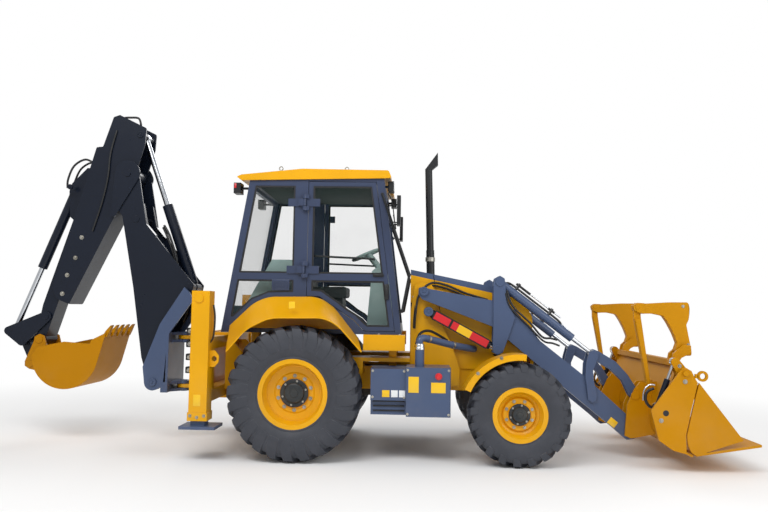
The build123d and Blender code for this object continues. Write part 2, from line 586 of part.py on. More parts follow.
with BuildPart() as cab_interior:
    floor = cab_floor + cab_wall
    block(-40, 380, -210, 210, floor, floor + 330)
    slab([(-60, floor + 330), (-60, floor + 440), (420, floor + 450), (420, floor + 330)], -240, 240, 30)
    slab([(-60, floor + 380), (-180, 2330), (-110, 2345), (60, floor + 440)], -230, 230, 20)
    slabs([(-700, floor), (-600, 1500), (-480, 1720), (-330, 1985), (-120, 1985), (-80, 1700), (-80, floor)], 300, 600)
    slab([(640, floor), (690, 1900), (760, 1960), (850, 1900), (905, 1700), (930, floor)], -140, 140)
    rod_between((770, 1940), (640, 2095), 0, 35)
    with Locations(Plane(origin=(622, 0, 2090), z_dir=(-0.4, 0, 0.92))):
        Torus(165, 14)
        Box(320, 30, 16)
        Box(30, 320, 16)
keep(cab_interior, "cab_interior")

# ---- rear fenders, with the sill under each door ----
def inward(points, distance):
    """Points moved towards the rear wheel's centre."""
    return [along(p, (0, rear_axle_z), distance) for p in points]


fender_sheet = 10
arch_y, lip_y = cab_half + 45, rear_tyre_y + rear_tyre_w / 2 - 20
inner_round = [r - fender_sheet if r else 0 for r in reversed(arch_round)]
with BuildPart() as rear_fenders:
    for s in (-1, 1):
        rings = []
        for y, arch, rounds in ((arch_y, arch_in, arch_round), (lip_y, arch_lip, lip_round)):
            with BuildSketch(side(s * y)) as ring:
                with BuildLine():
                    FilletPolyline(*arch, *reversed(inward(arch, fender_sheet)), close=True,
                                   radius=[*rounds, *[r - fender_sheet if r else 0 for r in reversed(rounds)]])
                make_face()
            rings.append(ring.sketch)
        loft(sections=[rings[0].face(), rings[1].face()], ruled=True)
        y0, y1 = sorted((s * liner_y, s * arch_y))
        slab([*arch_in, *reversed(inward(arch_in, fender_sheet))], y0, y1, [*arch_round, *inner_round])
        y0, y1 = sorted((s * (liner_y - 10), s * liner_y))
        slab([(-735, cab_floor + cab_wall), *arch_in[:-1], (520, cab_floor + cab_wall)], y0, y1,
             [0, 0, *arch_round[1:-1], 0])
        y0, y1 = sorted((s * tank_in, s * (cab_half + 65)))
        block(650, 1071, y0, y1, 1070, cab_floor)
keep(rear_fenders, "rear_fenders")

# ---- loader arms ----
arm_top = [(1204, 1721), (1979, 1591), (2194, 1501), (2459, 1183), (2900, 840), (3345, 442)]
arm_under = [(3205, 310), (2726, 694), (2350, 1010), (1967, 1326), (1242, 1594)]
arm_side = [(1204, 1640), *arm_top, (3440, 330), (3445, 270), (3400, 215), (3324, 205), *arm_under]
cheek = [(1975, 1760), (1990, 1822), (2040, 1850), (2089, 1820), (2110, 1600), (2196, 1417), (2102, 1143), (2070, 1060),
         (2020, 1035), (1968, 1060), (1975, 1330)]
arm_y0, arm_y1 = arm_y - arm_w / 2, arm_y + arm_w / 2
lever_t, lever_gap = 22, 8
with BuildPart() as loader_arms:
    slabs(arm_side, arm_y0, arm_y1, 20)
    for at in (arm_pivot, bucket_pivot, lever_foot):
        barrels_y(at, arm_y0 - 1, arm_y1 + 1, pin_r + run, Mode.SUBTRACT)
    # The cheeks straddle the arm and carry the tilt cylinder above it and the lift cylinder below.
    slabs(cheek, arm_y1, arm_y1 + 22, 16)
    slabs(cheek, arm_y0 - 22, arm_y0, 16)
    barrels_y(tilt_base, arm_y0, arm_y1, pin_r)
    for at in (tilt_base, lift_eye):
        barrels_y(at, arm_y1 + 22, arm_y1 + 30, 45)
    barrel_y((2620, 915), -arm_y0 - 1, arm_y0 + 1, 75)
keep(loader_arms, "loader_arms")


def cylinder_parts(base, eye, y_list, barrel_r, rod_r, barrel_share, eye_w, retract, pin=pin_r):
    """Barrel and rod of a cylinder between two side points, for each y, whose rod can go in by retract."""
    length = hypot(eye[0] - base[0], eye[1] - base[1])
    head = along(base, eye, length * barrel_share)
    with BuildPart() as barrel:
        for y in y_list:
            rod_between(along(base, eye, pin + 10), head, y, barrel_r)
            barrel_y(base, y - eye_w / 2, y + eye_w / 2, pin + 22)
            rod_between(along(base, eye, pin + 30), along(base, eye, length + 10), y, rod_r + run, Mode.SUBTRACT)
            barrel_y(base, y - eye_w, y + eye_w, pin + run, Mode.SUBTRACT)
    with BuildPart() as rod:
        for y in y_list:
            rod_between(along(base, eye, pin + 45 + retract), along(base, eye, length - pin - 8), y, rod_r)
            barrel_y(eye, y - eye_w / 2, y + eye_w / 2, pin + 20)
    return barrel, rod


both = (arm_y, -arm_y)
lift_barrels, lift_rods = cylinder_parts(lift_base, lift_eye, both, 44, 28, 0.90, 60, 15)
keep(lift_barrels, "lift_barrels")
keep(lift_rods, "lift_rods")
tilt_barrels, tilt_rods = cylinder_parts(tilt_base, lever_top, both, 44, 20, 0.78, 44, 160)
keep(tilt_barrels, "tilt_barrels")
keep(tilt_rods, "tilt_rods")

lever = [(2977, 572), (3018, 600), (3022, 660), (2990, 800), (2985, 900), (3035, 1020), (3040, 1080), (2999, 1105),
         (2950, 1085), (2915, 960), (2908, 830), (2925, 700), (2935, 600)]
with BuildPart() as tilt_levers:
    for y0, y1 in ((arm_y1 + lever_gap, arm_y1 + lever_gap + lever_t), (arm_y0 - lever_gap - lever_t, arm_y0 - lever_gap)):
        slabs(lever, y0, y1, 12)
    barrels_y(lever_foot, arm_y0 - lever_gap - lever_t, arm_y1 + lever_gap + lever_t, pin_r)
    for y0, y1 in ((arm_y0 - lever_gap - lever_t, arm_y - 24), (arm_y + 24, arm_y1 + lever_gap + lever_t)):
        barrels_y(lever_top, y0, y1, pin_r)
keep(tilt_levers, "tilt_levers")

# Banana links run over the arm's end to the bucket.
banana_upper = [(3000, 1110), (3060, 1085), (3220, 990), (3340, 860), (3430, 720), (3458, 655)]
banana_lower = [(3405, 600), (3352, 655), (3290, 790), (3180, 900), (3060, 970), (3000, 1005), (2950, 1057)]
with BuildPart() as tilt_links:
    for y0, y1 in ((arm_y + 25, arm_y + 43), (arm_y - 43, arm_y - 25)):
        slabs([*banana_upper, *banana_lower], y0, y1)
        barrels_y(lever_top, y0 - 1, y1 + 1, pin_r + run, Mode.SUBTRACT)
    blocks(3150, 3200, arm_y - 26, arm_y + 26, 925, 965)
    barrels_y(link_pin, arm_y0 - ear_gap + gap, arm_y1 + ear_gap - gap, pin_r)
keep(tilt_links, "tilt_links")

# ---- loader bucket: fixed back with its ears, and the clam in front ----
bucket_sheet = 20
back_curve = [(3700, 1000), (3640, 850), (3560, 640), (3530, 480), (3560, 340), (3630, 240), (3712, 180), (3765, 152)]
back_inner = [(3790, 166), (3722, 199), (3645, 254), (3578, 348), (3550, 480), (3579, 633), (3659, 843), (3719, 992)]
side_plate = [(3653, 940), (3388, 578), (3404, 512), (3458, 303), (3589, 213), (3710, 181), (3709, 265), (3705, 353),
              (3758, 586), (3822, 843), (3800, 880), (3763, 955), (3708, 984), (3666, 970)]
ear = [(3300, 250), (3325, 556), (3400, 720), (3455, 790), (3630, 800), (3570, 640), (3540, 480), (3570, 345), (3620, 275),
       (3420, 235), (3360, 225)]
ear_out0, ear_out1 = arm_y1 + ear_gap, arm_y1 + ear_gap + plate_t
ear_in0, ear_in1 = arm_y0 - ear_gap - plate_t, arm_y0 - ear_gap
side_t = 24
slot_y = 1005  # beyond this the back is low, so that the clam's arms pass over it
clam_in0, clam_in1, clam_out0, clam_out1 = 1012, 1030, 1090, 1110
with BuildPart() as loader_bucket:
    slab([*back_curve, *back_inner], -slot_y, slot_y)
    slabs([(3625, 811), *back_curve[2:], *back_inner[:6], (3644, 804)], slot_y - 1, bucket_y - side_t + 1)
    slabs(side_plate, bucket_y - side_t, bucket_y)
    for y0, y1 in ((ear_out0, ear_out1), (ear_in0, ear_in1)):
        slabs(ear, y0, y1)
    barrels_y(bucket_pivot, ear_in0, ear_out1, pin_r)
    barrels_y(link_pin, ear_out1, ear_out1 + 8, 42)
    block(3650, 3722, -slot_y + 20, slot_y - 20, 985, 1040)
    slabs([(3650, 870), (3690, 1000), (3730, 975), (3752, 930), (3730, 880), (3668, 860)], slot_y - 20, slot_y)
    barrels_y(clam_pivot, slot_y - 10, bucket_y + 22, 26)
    for y0, y1 in ((clam_cyl_y - 50, clam_cyl_y - 30), (clam_cyl_y + 30, clam_cyl_y + 50)):
        slabs([(3440, 570), (3440, 625), (3490, 645), (3580, 660), (3555, 540), (3480, 555)], y0, y1)
    barrels_y(clam_base_pin, clam_cyl_y - 50, clam_cyl_y + 50, 20)
    for y0, y1 in ((fork_y - fork_w / 2 - 35, fork_y - fork_w / 2 - gap), (fork_y + fork_w / 2 + gap, fork_y + fork_w / 2 + 35)):
        slabs([(3660, 1000), (3680, 1100), (3780, 1190), (3850, 1180), (3855, 1110), (3760, 1060), (3715, 1000)], y0, y1)
    barrels_y(fork_pivot, fork_y - fork_w / 2 - 35, fork_y + fork_w / 2 + 35, 22)
keep(loader_bucket, "loader_bucket")

clam_side = [(3835, 843), (4235, 318), (3800, 170), (3755, 200), (3727, 262), (3716, 353), (3770, 586)]
with BuildPart() as bucket_clam:
    slabs(clam_side, bucket_y - side_t, bucket_y)
    slab([(3800, 163), (4400, 262), (4400, 284), (3800, 184)], -bucket_y, bucket_y)
    for y0, y1 in ((clam_in0, clam_in1), (clam_out0, clam_out1)):
        lobed([(clam_pivot, 50), (clam_rod_pin, 40)], *(y0, y1))
        lobed([(clam_pivot, 50), (clam_rod_pin, 40)], *(-y1, -y0))
        slabs([(3668, 960), (3760, 800), (3850, 660), (3880, 740), (3800, 900), (3745, 975)], y0, y1)
    barrels_y(clam_pivot, clam_in0, clam_out1, 48)
    slabs([(3826, 765), (3845, 668), (3900, 690), (3880, 740), (3850, 800)], clam_in0, bucket_y)
    barrels_y(clam_pivot, clam_in0 - 1, clam_out1 + 1, 26 + run, Mode.SUBTRACT)
keep(bucket_clam, "bucket_clam")
clam_both = (clam_cyl_y, -clam_cyl_y)
clam_barrels, clam_rods = cylinder_parts(clam_base_pin, clam_rod_pin, clam_both, 29, 16, 0.61, 44, 135, 20)
keep(clam_barrels, "clam_barrels")
keep(clam_rods, "clam_rods")

# ---- flip-over forks, folded back ----
shank = [(3770, 1110), (3870, 1110), (3870, 1180), (3830, 1443), (3856, 1540), (3841, 1600), (3666, 1598), (3666, 1470),
         (3607, 1463), (3692, 1299), (3700, 1180)]
bar = [(3700, 1470), (3379, 1435), (3379, 1500), (3300, 1500), (3300, 1590), (3700, 1598)]
with BuildPart() as forks:
    slabs(shank, fork_y - fork_w / 2, fork_y + fork_w / 2)
    slabs([(3666, 1500), (3420, 1480), (3400, 1500), (3400, 1580), (3666, 1598)], fork_y - fork_w / 2, fork_y + fork_w / 2)
    for y0, y1 in ((fork_y - fork_w / 2, fork_y - 15), (fork_y + 15, fork_y + fork_w / 2)):
        slabs([(3420, 1480), (3380, 1490), (3320, 1510), (3310, 1560), (3345, 1588), (3420, 1585)], y0, y1)
    barrels_y(fork_pivot, fork_y - fork_w, fork_y + fork_w, 22 + run, Mode.SUBTRACT)
    barrels_y(tine_pivot, fork_y - fork_w / 2, fork_y + fork_w / 2, 14)
keep(forks, "forks")
with BuildPart() as fork_tines:
    slabs([(3330, 1560), (3370, 1570), (3385, 1530), (3390, 1430), (3470, 800), (3440, 796), (3322, 1430), (3320, 1530)],
          fork_y - 15 + gap / 5, fork_y + 15 - gap / 5)
    slabs([(3328, 1430), (3384, 1430), (3470, 800), (3440, 796)], fork_y - fork_w / 2, fork_y + fork_w / 2)
    barrels_y(tine_pivot, fork_y - fork_w, fork_y + fork_w, 14 + run, Mode.SUBTRACT)
keep(fork_tines, "fork_tines")

# ---- sideshift carriage and kingpost ----
lug_plates = ((585, 625), (1120, 1160))
fork_plates = ((550, 580), (630, 660), (1085, 1115), (1165, 1195))
lug_r, swing_pin_r = 75, 40
with BuildPart() as carriage:
    block(-1060, -1005, -carriage_y, carriage_y, 500, 1220)
    for z0, z1, lip0, lip1 in ((1180.5, 1210, 1130, 1210), (510, 539.5, 510, 590)):
        block(-1060, -830, -carriage_y, carriage_y, z0, z1)
        block(-854.5, -830, -carriage_y, carriage_y, lip0, lip1)
    for z0, z1 in lug_plates:
        deck([(-1050, -210), (-1105, -lug_r), (swing_x, -lug_r), (swing_x, lug_r), (-1105, lug_r), (-1050, 210)], z0, z1)
        post(swing_x, 0, z0, z1, lug_r)
        post(swing_x, 0, z0, z1, swing_pin_r + run, Mode.SUBTRACT)
    blocks(-1105, -1050, 40, 60, 625, 1120)
keep(carriage, "carriage")

tower_side = [(-1751, 661), (-1772, 823), (-1599, 1288), (-1344, 1690), (-1292, 1641), (-1239, 1559), (-1505, 1168),
              (-1546, 620), (-1600, 590)]
with BuildPart() as kingpost:
    block(-1520, -1495, -tower_half, tower_half, 550, 1195)
    for z0, z1 in fork_plates:
        deck([(-1500, -180), (swing_x, -80), (swing_x, 80), (-1500, 180)], z0, z1)
        post(swing_x, 0, z0, z1, 80)
    for z0, z1 in ((550, 660), (1085, 1195)):
        post(swing_x, 0, z0 - 6, z1 + 6, swing_pin_r)
        blocks(-1570, -1496, 215, tower_half, z0, z1)
    slabs(tower_side, tower_half - plate_t, tower_half)
    barrels_y(boom_foot, tower_half - plate_t, tower_half, 92)
    barrel_y(boom_foot, -tower_half - 10, tower_half + 10, swing_pin_r)
    slabs([(-1496, 930), (-1496, 1120), (-1590, 1098), (-1650, 1060), (-1650, 1000), (-1590, 962)], 72, 97)
    barrel_y(boom_lift_base, -97, 97, 32)
keep(kingpost, "kingpost")

# ---- boom: two side plates, webs between them and a forked head ----
boom_side = [(-1748, 690), (-1819, 920), (-1938, 1679), (-2092, 2470), (-2151, 2558), (-2172, 2940), (-1923, 2960),
             (-1820, 2384), (-1715, 2264), (-1264, 1721), (-1290, 1590), (-1515, 1230), (-1545, 1150), (-1575, 850),
             (-1570, 690)]
boom_in = boom_half - boom_t
with BuildPart() as boom:
    slabs(boom_side, boom_in, boom_half, 20)
    barrels_y(boom_foot, boom_in, boom_half, 92)
    barrel_y(boom_foot, -255, 255, 68)
    barrels_y(dipper_pivot, boom_in, boom_half, 125)
    for y0, y1 in ((boom_half, boom_half + 20), (-boom_half - 20, -boom_half)):
        lobed([(dipper_pivot, 140), ((-2190, 2490), 30)], y0, y1)
    slab([(-1795, 830), (-1819, 920), (-1938, 1679), (-2092, 2470), (-2074, 2474), (-1920, 1682), (-1801, 922),
          (-1777, 833)], -boom_in - 1, boom_in + 1)
    slabs([(-1715, 2264), (-1820, 2384), (-1870, 2620), (-1886, 2616), (-1838, 2394), (-1728, 2276)], 130, boom_in + 1)
    for at in (crowd_base, boom_lift_pin):
        barrels_y(at, 66, boom_in + 1, 46)
        barrels_y(at, boom_half, boom_half + 8, 40)
    barrel_y(crowd_base, -67, 67, 30)
    barrel_y(dipper_pivot, -boom_half - 30, boom_half + 30, 40)
    barrel_y(boom_foot, -260, 260, swing_pin_r + run, Mode.SUBTRACT)
keep(boom, "boom")
boom_barrel, boom_rod = cylinder_parts(boom_lift_base, boom_lift_pin, (0,), 65, 36, 0.90, 90, 0, 32)
keep(boom_barrel, "boom_barrel")
keep(boom_rod, "boom_rod")

# ---- dipper: outer section open at the back, and the sliding inner box ----


def on_dipper(s, n):
    """Side point at s down the dipper from its pivot and n ahead of it."""
    turn = radians(slide_angle)
    return (dipper_pivot[0] + s * cos(turn) - n * sin(turn), dipper_pivot[1] + s * sin(turn) + n * cos(turn))


def dipper_points(*pairs):
    """The same for a whole outline."""
    return [on_dipper(s, n) for s, n in pairs]


dipper_side = dipper_points((-554, -383), (-598, -325), (-549, 15), (-373, 59), (29, 74), (346, 28), (1584, -148),
                            (1572, -306), (1472, -390), (414, -432), (-169, -453), (-199, -386))
dipper_in = dipper_half - dipper_t
inner_front, inner_back = -290, -445
with BuildPart() as dipper:
    slabs(dipper_side, dipper_in, dipper_half, 15)
    barrel_y(dipper_pivot, -dipper_half, dipper_half, 78)
    slab(dipper_points((-550, inner_front + run), (1560, inner_front + run), (1560, -272), (-550, -272)),
         -dipper_in - 1, dipper_in + 1)
    slab(dipper_points((346, 28), (1584, -148), (1582, -164), (344, 12)), -dipper_in - 1, dipper_in + 1)
    slab(dipper_points((1584, -148), (1572, -285), (1556, -285), (1568, -148)), -dipper_in - 1, dipper_in + 1)
    for s0, s1, deep in ((1300, 1460, -380), (-120, 60, -435)):
        slabs(dipper_points((s0, -280), (s1, -280), (s1, deep), (s0, deep)), inner_half + run, dipper_in + 1)
    barrels_y(crowd_pin, 66, dipper_in + 1, 46)
    barrels_y(crowd_pin, dipper_half, dipper_half + 6, 40)
    barrel_y(dipper_pivot, -260, 260, 40 + run, Mode.SUBTRACT)
keep(dipper, "dipper")
crowd_barrel, crowd_rod = cylinder_parts(crowd_base, crowd_pin, (0,), 59, 33, 0.545, 90, 775, 30)
keep(crowd_barrel, "crowd_barrel")
keep(crowd_rod, "crowd_rod")

with BuildPart() as inner_dipper:
    slab(dipper_points((-190, inner_front), (2060, inner_front), (2080, -345), (2060, -380), (1850, -425), (1690, inner_back),
                       (-190, inner_back)), -inner_half, inner_half)
    barrel_y(hoe_pivot, -inner_half, inner_half, 58)
    barrel_y(rocker_pivot, -inner_half, inner_half, 64)
    slab(dipper_points((-191, inner_front - inner_wall), (1640, inner_front - inner_wall), (1640, inner_back + inner_wall),
                       (-191, inner_back + inner_wall)), -inner_half + inner_wall, inner_half - inner_wall, mode=Mode.SUBTRACT)
    slabs(dipper_points((60, inner_back + 4), (80, -517), (300, -626), (395, -626), (668, -518), (700, inner_back + 4)), 58, 78)
    barrel_y(bucket_cyl_base, -82, 82, pin_r)
    for at in (hoe_pivot, rocker_pivot):
        barrel_y(at, -inner_half - 5, inner_half + 5, 32 + run, Mode.SUBTRACT)
keep(inner_dipper, "inner_dipper")
hoe_barrel, hoe_rod = cylinder_parts(bucket_cyl_base, rocker_rod_pin, (0,), 52, 29, 0.561, 84, 625)
keep(hoe_barrel, "hoe_barrel")
keep(hoe_rod, "hoe_rod")

# ---- rocker, link and digging bucket ----
rocker_y0, rocker_y1 = 137, 155
ear_y0, ear_y1 = 160, 185
with BuildPart() as rocker:
    for y0, y1 in ((rocker_y0, rocker_y1), (-rocker_y1, -rocker_y0)):
        lobed([(rocker_pivot, 58), (rocker_rod_pin, 44), (rocker_link_pin, 46)], y0, y1)
    barrel_y(rocker_pivot, -rocker_y1 - 8, rocker_y1 + 8, 32)
    barrels_y(rocker_rod_pin, 44, rocker_y0 + 1, 42)
    barrels_y(rocker_rod_pin, rocker_y1, rocker_y1 + 4, 38)
    barrel_y(rocker_link_pin, -rocker_y1 - 4, rocker_y1 + 4, pin_r)
keep(rocker, "rocker")
with BuildPart() as hoe_link:
    lobed([(rocker_link_pin, 46), (hoe_link_pin, 46)], -75, 75)
    for at in (rocker_link_pin, hoe_link_pin):
        barrel_y(at, -125, 125, 44)
    barrel_y(rocker_link_pin, -130, 130, pin_r + run, Mode.SUBTRACT)
keep(hoe_link, "hoe_link")

hoe_sheet = 18
hoe_back, hoe_lowest, hoe_heel = (-2965, 926), (-2582, 573), (-2251, 840)
hoe_lip, hoe_lip_in = (-2159, 1185), (-2177, 1185)
shell_arc = ThreePointArc(hoe_back, hoe_lowest, hoe_heel)
shell_centre = (shell_arc.arc_center.X, shell_arc.arc_center.Y)
with BuildPart() as hoe_bucket:
    with BuildSketch(side(hoe_half)) as shell:
        with BuildLine():
            ThreePointArc(hoe_back, hoe_lowest, hoe_heel)
            Polyline(hoe_heel, hoe_lip, hoe_lip_in, along(hoe_heel, shell_centre, hoe_sheet))
            ThreePointArc(*(along(p, shell_centre, hoe_sheet) for p in (hoe_heel, hoe_lowest, hoe_back)))
            Line(along(hoe_back, shell_centre, hoe_sheet), hoe_back)
        make_face()
    extrude(shell.sketch, amount=2 * hoe_half)
    with BuildSketch(side(hoe_half)) as cheek_face:
        with BuildLine():
            ThreePointArc(hoe_back, hoe_lowest, hoe_heel)
            Polyline(hoe_heel, hoe_lip, (-2313, 1107), (-2331, 1062), (-2616, 1081), (-2900, 1020), hoe_back)
        make_face()
    extrude(cheek_face.sketch, amount=16)
    extrude(cheek_face.sketch.moved(Location((0, 16 - 2 * hoe_half, 0))), amount=16)
    slabs([(-3125, 800), (-3128, 850), (-3035, 1075), (-3030, 1120), (-2978, 1153), (-2925, 1130), (-2905, 1060),
           (-2892, 1000), (-2900, 762), (-2960, 745), (-3075, 768)], ear_y0, ear_y1)
    for at, r in ((hoe_pivot, 50), (hoe_link_pin, 44)):
        barrels_y(at, 135, ear_y0 + 1, r)
        barrels_y(at, ear_y1, ear_y1 + 6, 42)
    barrel_y(hoe_pivot, -136, 136, 32)
    for y in (-310, -155, 0, 155, 310):
        slab([(-2196, 1140), (-2158, 1135), (-2132, 1190), (-2104, 1267), (-2120, 1262), (-2174, 1200)], y - 32, y + 32)
keep(hoe_bucket, "hoe_bucket")
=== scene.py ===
import bmesh
import bpy
import json
from math import cos, pi, radians, sin
from mathutils import Matrix, Vector


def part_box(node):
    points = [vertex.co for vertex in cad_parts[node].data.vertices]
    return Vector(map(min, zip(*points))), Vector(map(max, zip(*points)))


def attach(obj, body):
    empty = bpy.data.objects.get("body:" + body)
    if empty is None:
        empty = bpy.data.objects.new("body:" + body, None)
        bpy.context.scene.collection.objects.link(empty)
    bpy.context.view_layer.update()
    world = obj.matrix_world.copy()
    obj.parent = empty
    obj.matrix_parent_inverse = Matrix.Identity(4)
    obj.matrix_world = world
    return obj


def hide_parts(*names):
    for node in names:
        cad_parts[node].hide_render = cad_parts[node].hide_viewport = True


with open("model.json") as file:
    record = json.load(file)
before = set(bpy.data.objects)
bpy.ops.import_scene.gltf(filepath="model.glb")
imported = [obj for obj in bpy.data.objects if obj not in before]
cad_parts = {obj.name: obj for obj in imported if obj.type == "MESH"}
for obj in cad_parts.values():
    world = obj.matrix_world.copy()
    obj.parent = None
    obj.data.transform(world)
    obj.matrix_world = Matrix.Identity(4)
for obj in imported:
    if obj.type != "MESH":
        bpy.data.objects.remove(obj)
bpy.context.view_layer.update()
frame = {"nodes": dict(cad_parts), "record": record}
nodes = frame["nodes"]
nodeBody = {node: body for body, members in frame["record"]["behaviour"]["bodies"].items() for node in members}
hands = (("left", 1), ("right", -1))
print("frame loaded:", len(nodes), "nodes")


class Wire:
    # One socket of a material: each sum written on it adds a Math node.
    def __init__(self, finish, socket):
        self.finish = finish
        self.socket = socket

    def sum(self, operation, first, second):
        return self.finish.node("ShaderNodeMath", {"operation": operation}, {0: first, 1: second})

    def __add__(self, other):
        return self.sum("ADD", self, other)

    def __radd__(self, other):
        return self.sum("ADD", other, self)

    def __sub__(self, other):
        return self.sum("SUBTRACT", self, other)

    def __rsub__(self, other):
        return self.sum("SUBTRACT", other, self)

    def __mul__(self, other):
        return self.sum("MULTIPLY", self, other)

    def __rmul__(self, other):
        return self.sum("MULTIPLY", other, self)


class Graph:
    # The shader nodes of a material or of the world.
    def __init__(self, owner):
        owner.use_nodes = True
        self.tree = owner.node_tree
        self.tree.nodes.clear()

    def node(self, kind, settings=None, sockets=None, out=0):
        made = self.tree.nodes.new(kind)
        for key, value in (settings or {}).items():
            setattr(made, key, value)
        for key, value in (sockets or {}).items():
            if isinstance(value, Wire):
                self.tree.links.new(value.socket, made.inputs[key])
            else:
                made.inputs[key].default_value = value
        return Wire(self, made.outputs[out])

    def end(self, kind, surface):
        output = self.tree.nodes.new(kind)
        self.tree.links.new(surface.socket, output.inputs["Surface"])


class Finish(Graph):
    # A material with a Principled shader, and short ways to add what feeds it.
    def __init__(self, name):
        self.material = bpy.data.materials.new(name)
        super().__init__(self.material)
        self.spot = self.node("ShaderNodeTexCoord", out="Object")

    def noise(self, scale, detail=3, roughness=0.55):
        sockets = {"Vector": self.spot, "Scale": scale, "Detail": detail, "Roughness": roughness}
        return self.node("ShaderNodeTexNoise", None, sockets)

    def step(self, value, low, high):
        sockets = {"Value": value, "From Min": low, "From Max": high}
        return self.node("ShaderNodeMapRange", {"interpolation_type": "SMOOTHSTEP"}, sockets)

    def blend(self, share, first, second):
        return self.node("ShaderNodeMix", {"data_type": "RGBA"}, {0: share, 6: first, 7: second}, out=2)

    def along(self, axis):
        return self.node("ShaderNodeSeparateXYZ", None, {"Vector": self.spot}, out=axis)

    def rounded(self, radius):
        return self.node("ShaderNodeBevel", {"samples": 4}, {"Radius": radius})

    def edges(self, roundedNormal, low=0.02, high=0.16):
        # Where the rounded normal leaves the face's own one, an edge is near.
        trueNormal = self.node("ShaderNodeNewGeometry", out="True Normal")
        likeness = self.node("ShaderNodeVectorMath", {"operation": "DOT_PRODUCT"},
                             {0: roundedNormal, 1: trueNormal}, out="Value")
        return self.step(1 - likeness, low, high)

    def bump(self, height, strength, distance, normal=None):
        sockets = {"Height": height, "Strength": strength, "Distance": distance}
        if normal:
            sockets["Normal"] = normal
        return self.node("ShaderNodeBump", None, sockets)

    def finish(self, sockets):
        self.end("ShaderNodeOutputMaterial", self.node("ShaderNodeBsdfPrincipled", None, sockets))
        return self.material


def shade(hexCode):
    # A colour written as on a colour card, as the shader wants it.
    parts = [int(hexCode[i:i + 2], 16) / 255 for i in (0, 2, 4)]
    linear = [p / 12.92 if p <= 0.04045 else ((p + 0.055) / 1.055) ** 2.4 for p in parts]
    return (*linear, 1)


def tinted(hexCode, factor):
    # The same colour made darker or lighter.
    return (*[min(1, part * factor) for part in shade(hexCode)[:3]], 1)


def paint(name, colour, edgeAndPatchTint, roughness=0.34, coat=0.35, edge=0.35, dust=0.10, shine=0.3, soften=0.004):
    # Sprayed paint with faint patches, edges tinted toward a second colour (painted highlight where that colour is
    # lighter, scuffs where it is darker), dust low down and a fine orange peel.
    f = Finish(name)
    patches = f.step(f.noise(1.4, detail=4), 0.35, 0.70)
    tint = f.blend(patches, shade(colour), tinted(colour, 0.90))
    soft = f.rounded(soften)
    # Edge tint: where the edge colour is lighter than the paint, as for most paints here, it is a painted highlight
    # along the edges; where it is darker, it is wear.
    edgeWearAndHighlight = f.step(f.noise(26, detail=5, roughness=0.7), 0.42, 0.62)
    tint = f.blend(f.edges(soft) * edgeWearAndHighlight * edge, tint, shade(edgeAndPatchTint))
    nearGround = 1 - f.step(f.along("Z"), 0.1, 1.1)
    dusty = f.step(f.noise(3.1, detail=6, roughness=0.65), 0.38, 0.75) * nearGround * dust * 3
    tint = f.blend(dusty, tint, shade("a79a84"))
    rough = f.noise(7, detail=4) * 0.12 + dusty * 0.5 + (roughness - 0.06)
    peel = f.bump(f.noise(190, detail=2), 0.05, 0.001, soft)
    return f.finish({"Base Color": tint, "Roughness": rough, "Coat Weight": coat, "Coat Roughness": 0.12,
                     "Specular IOR Level": shine, "Normal": peel})


def metal(name, colour, dull, roughness=0.25):
    # Bare metal with dull patches and a fine grain.
    f = Finish(name)
    grain = f.noise(60, detail=4, roughness=0.6)
    soft = f.rounded(0.002)
    tint = f.blend(f.step(f.noise(5, detail=5), 0.4, 0.75), shade(colour), shade(dull))
    rough = grain * 0.18 + (roughness - 0.08)
    return f.finish({"Base Color": tint, "Metallic": 1.0, "Roughness": rough,
                     "Normal": f.bump(grain, 0.06, 0.0006, soft)})


def rubber(name, colour, dry, roughness=0.72, grain=140, dust=0.35):
    # Rubber that is paler where it is dry, and rubbed grey along its edges.
    f = Finish(name)
    soft = f.rounded(0.004)
    marks = f.step(f.noise(4.5, detail=7, roughness=0.7), 0.40, 0.72)
    tint = f.blend(marks * dust, shade(colour), shade(dry))
    rubbed = f.edges(soft) * f.step(f.noise(18, detail=4), 0.4, 0.65) * 0.5
    tint = f.blend(rubbed, tint, shade("6a6a6e"))
    rough = f.noise(11, detail=4) * 0.2 + (roughness - 0.1)
    return f.finish({"Base Color": tint, "Roughness": rough, "Normal": f.bump(f.noise(grain), 0.16, 0.0012, soft)})


# The seat's colour reaches this far from the middle line and this far forward, and fades over the blend.
seatSpec = {"half": 0.255, "front": 0.02, "blend": 0.01}


def plastic(name, colour, edgeAndPatchTint, roughness=0.5, grain=420, seat=None):
    # Moulded plastic. A seat's colour, where given, covers the middle between the consoles.
    f = Finish(name)
    soft = f.rounded(0.003)
    tint = f.blend(f.step(f.noise(6, detail=4), 0.4, 0.8) * 0.6, shade(colour), shade(edgeAndPatchTint))
    if seat:
        fromMiddle = f.node("ShaderNodeMath", {"operation": "ABSOLUTE"}, {0: f.along("Y")})
        within = 1 - f.step(fromMiddle, seatSpec["half"], seatSpec["half"] + seatSpec["blend"])
        behind = 1 - f.step(f.along("X"), seatSpec["front"], seatSpec["front"] + seatSpec["blend"])
        tint = f.blend(within * behind, tint, shade(seat))
    rough = f.noise(15) * 0.14 + (roughness - 0.07)
    return f.finish({"Base Color": tint, "Roughness": rough,
                     "Normal": f.bump(f.noise(grain, detail=2), 0.14, 0.0008, soft)})


def glass(name, colour, clear, roughness=0.04):
    # Tinted glass: clear is how much it covers when seen straight on.
    f = Finish(name)
    facing = f.node("ShaderNodeLayerWeight", None, {"Blend": 0.25}, out="Facing")
    smear = f.step(f.noise(2.2, detail=5), 0.45, 0.8)
    tint = f.blend(smear, shade(colour), tinted(colour, 1.2))
    cover = facing * 0.32 + smear * 0.02 + clear
    return f.finish({"Base Color": tint, "Roughness": smear * 0.05 + roughness, "Alpha": cover})


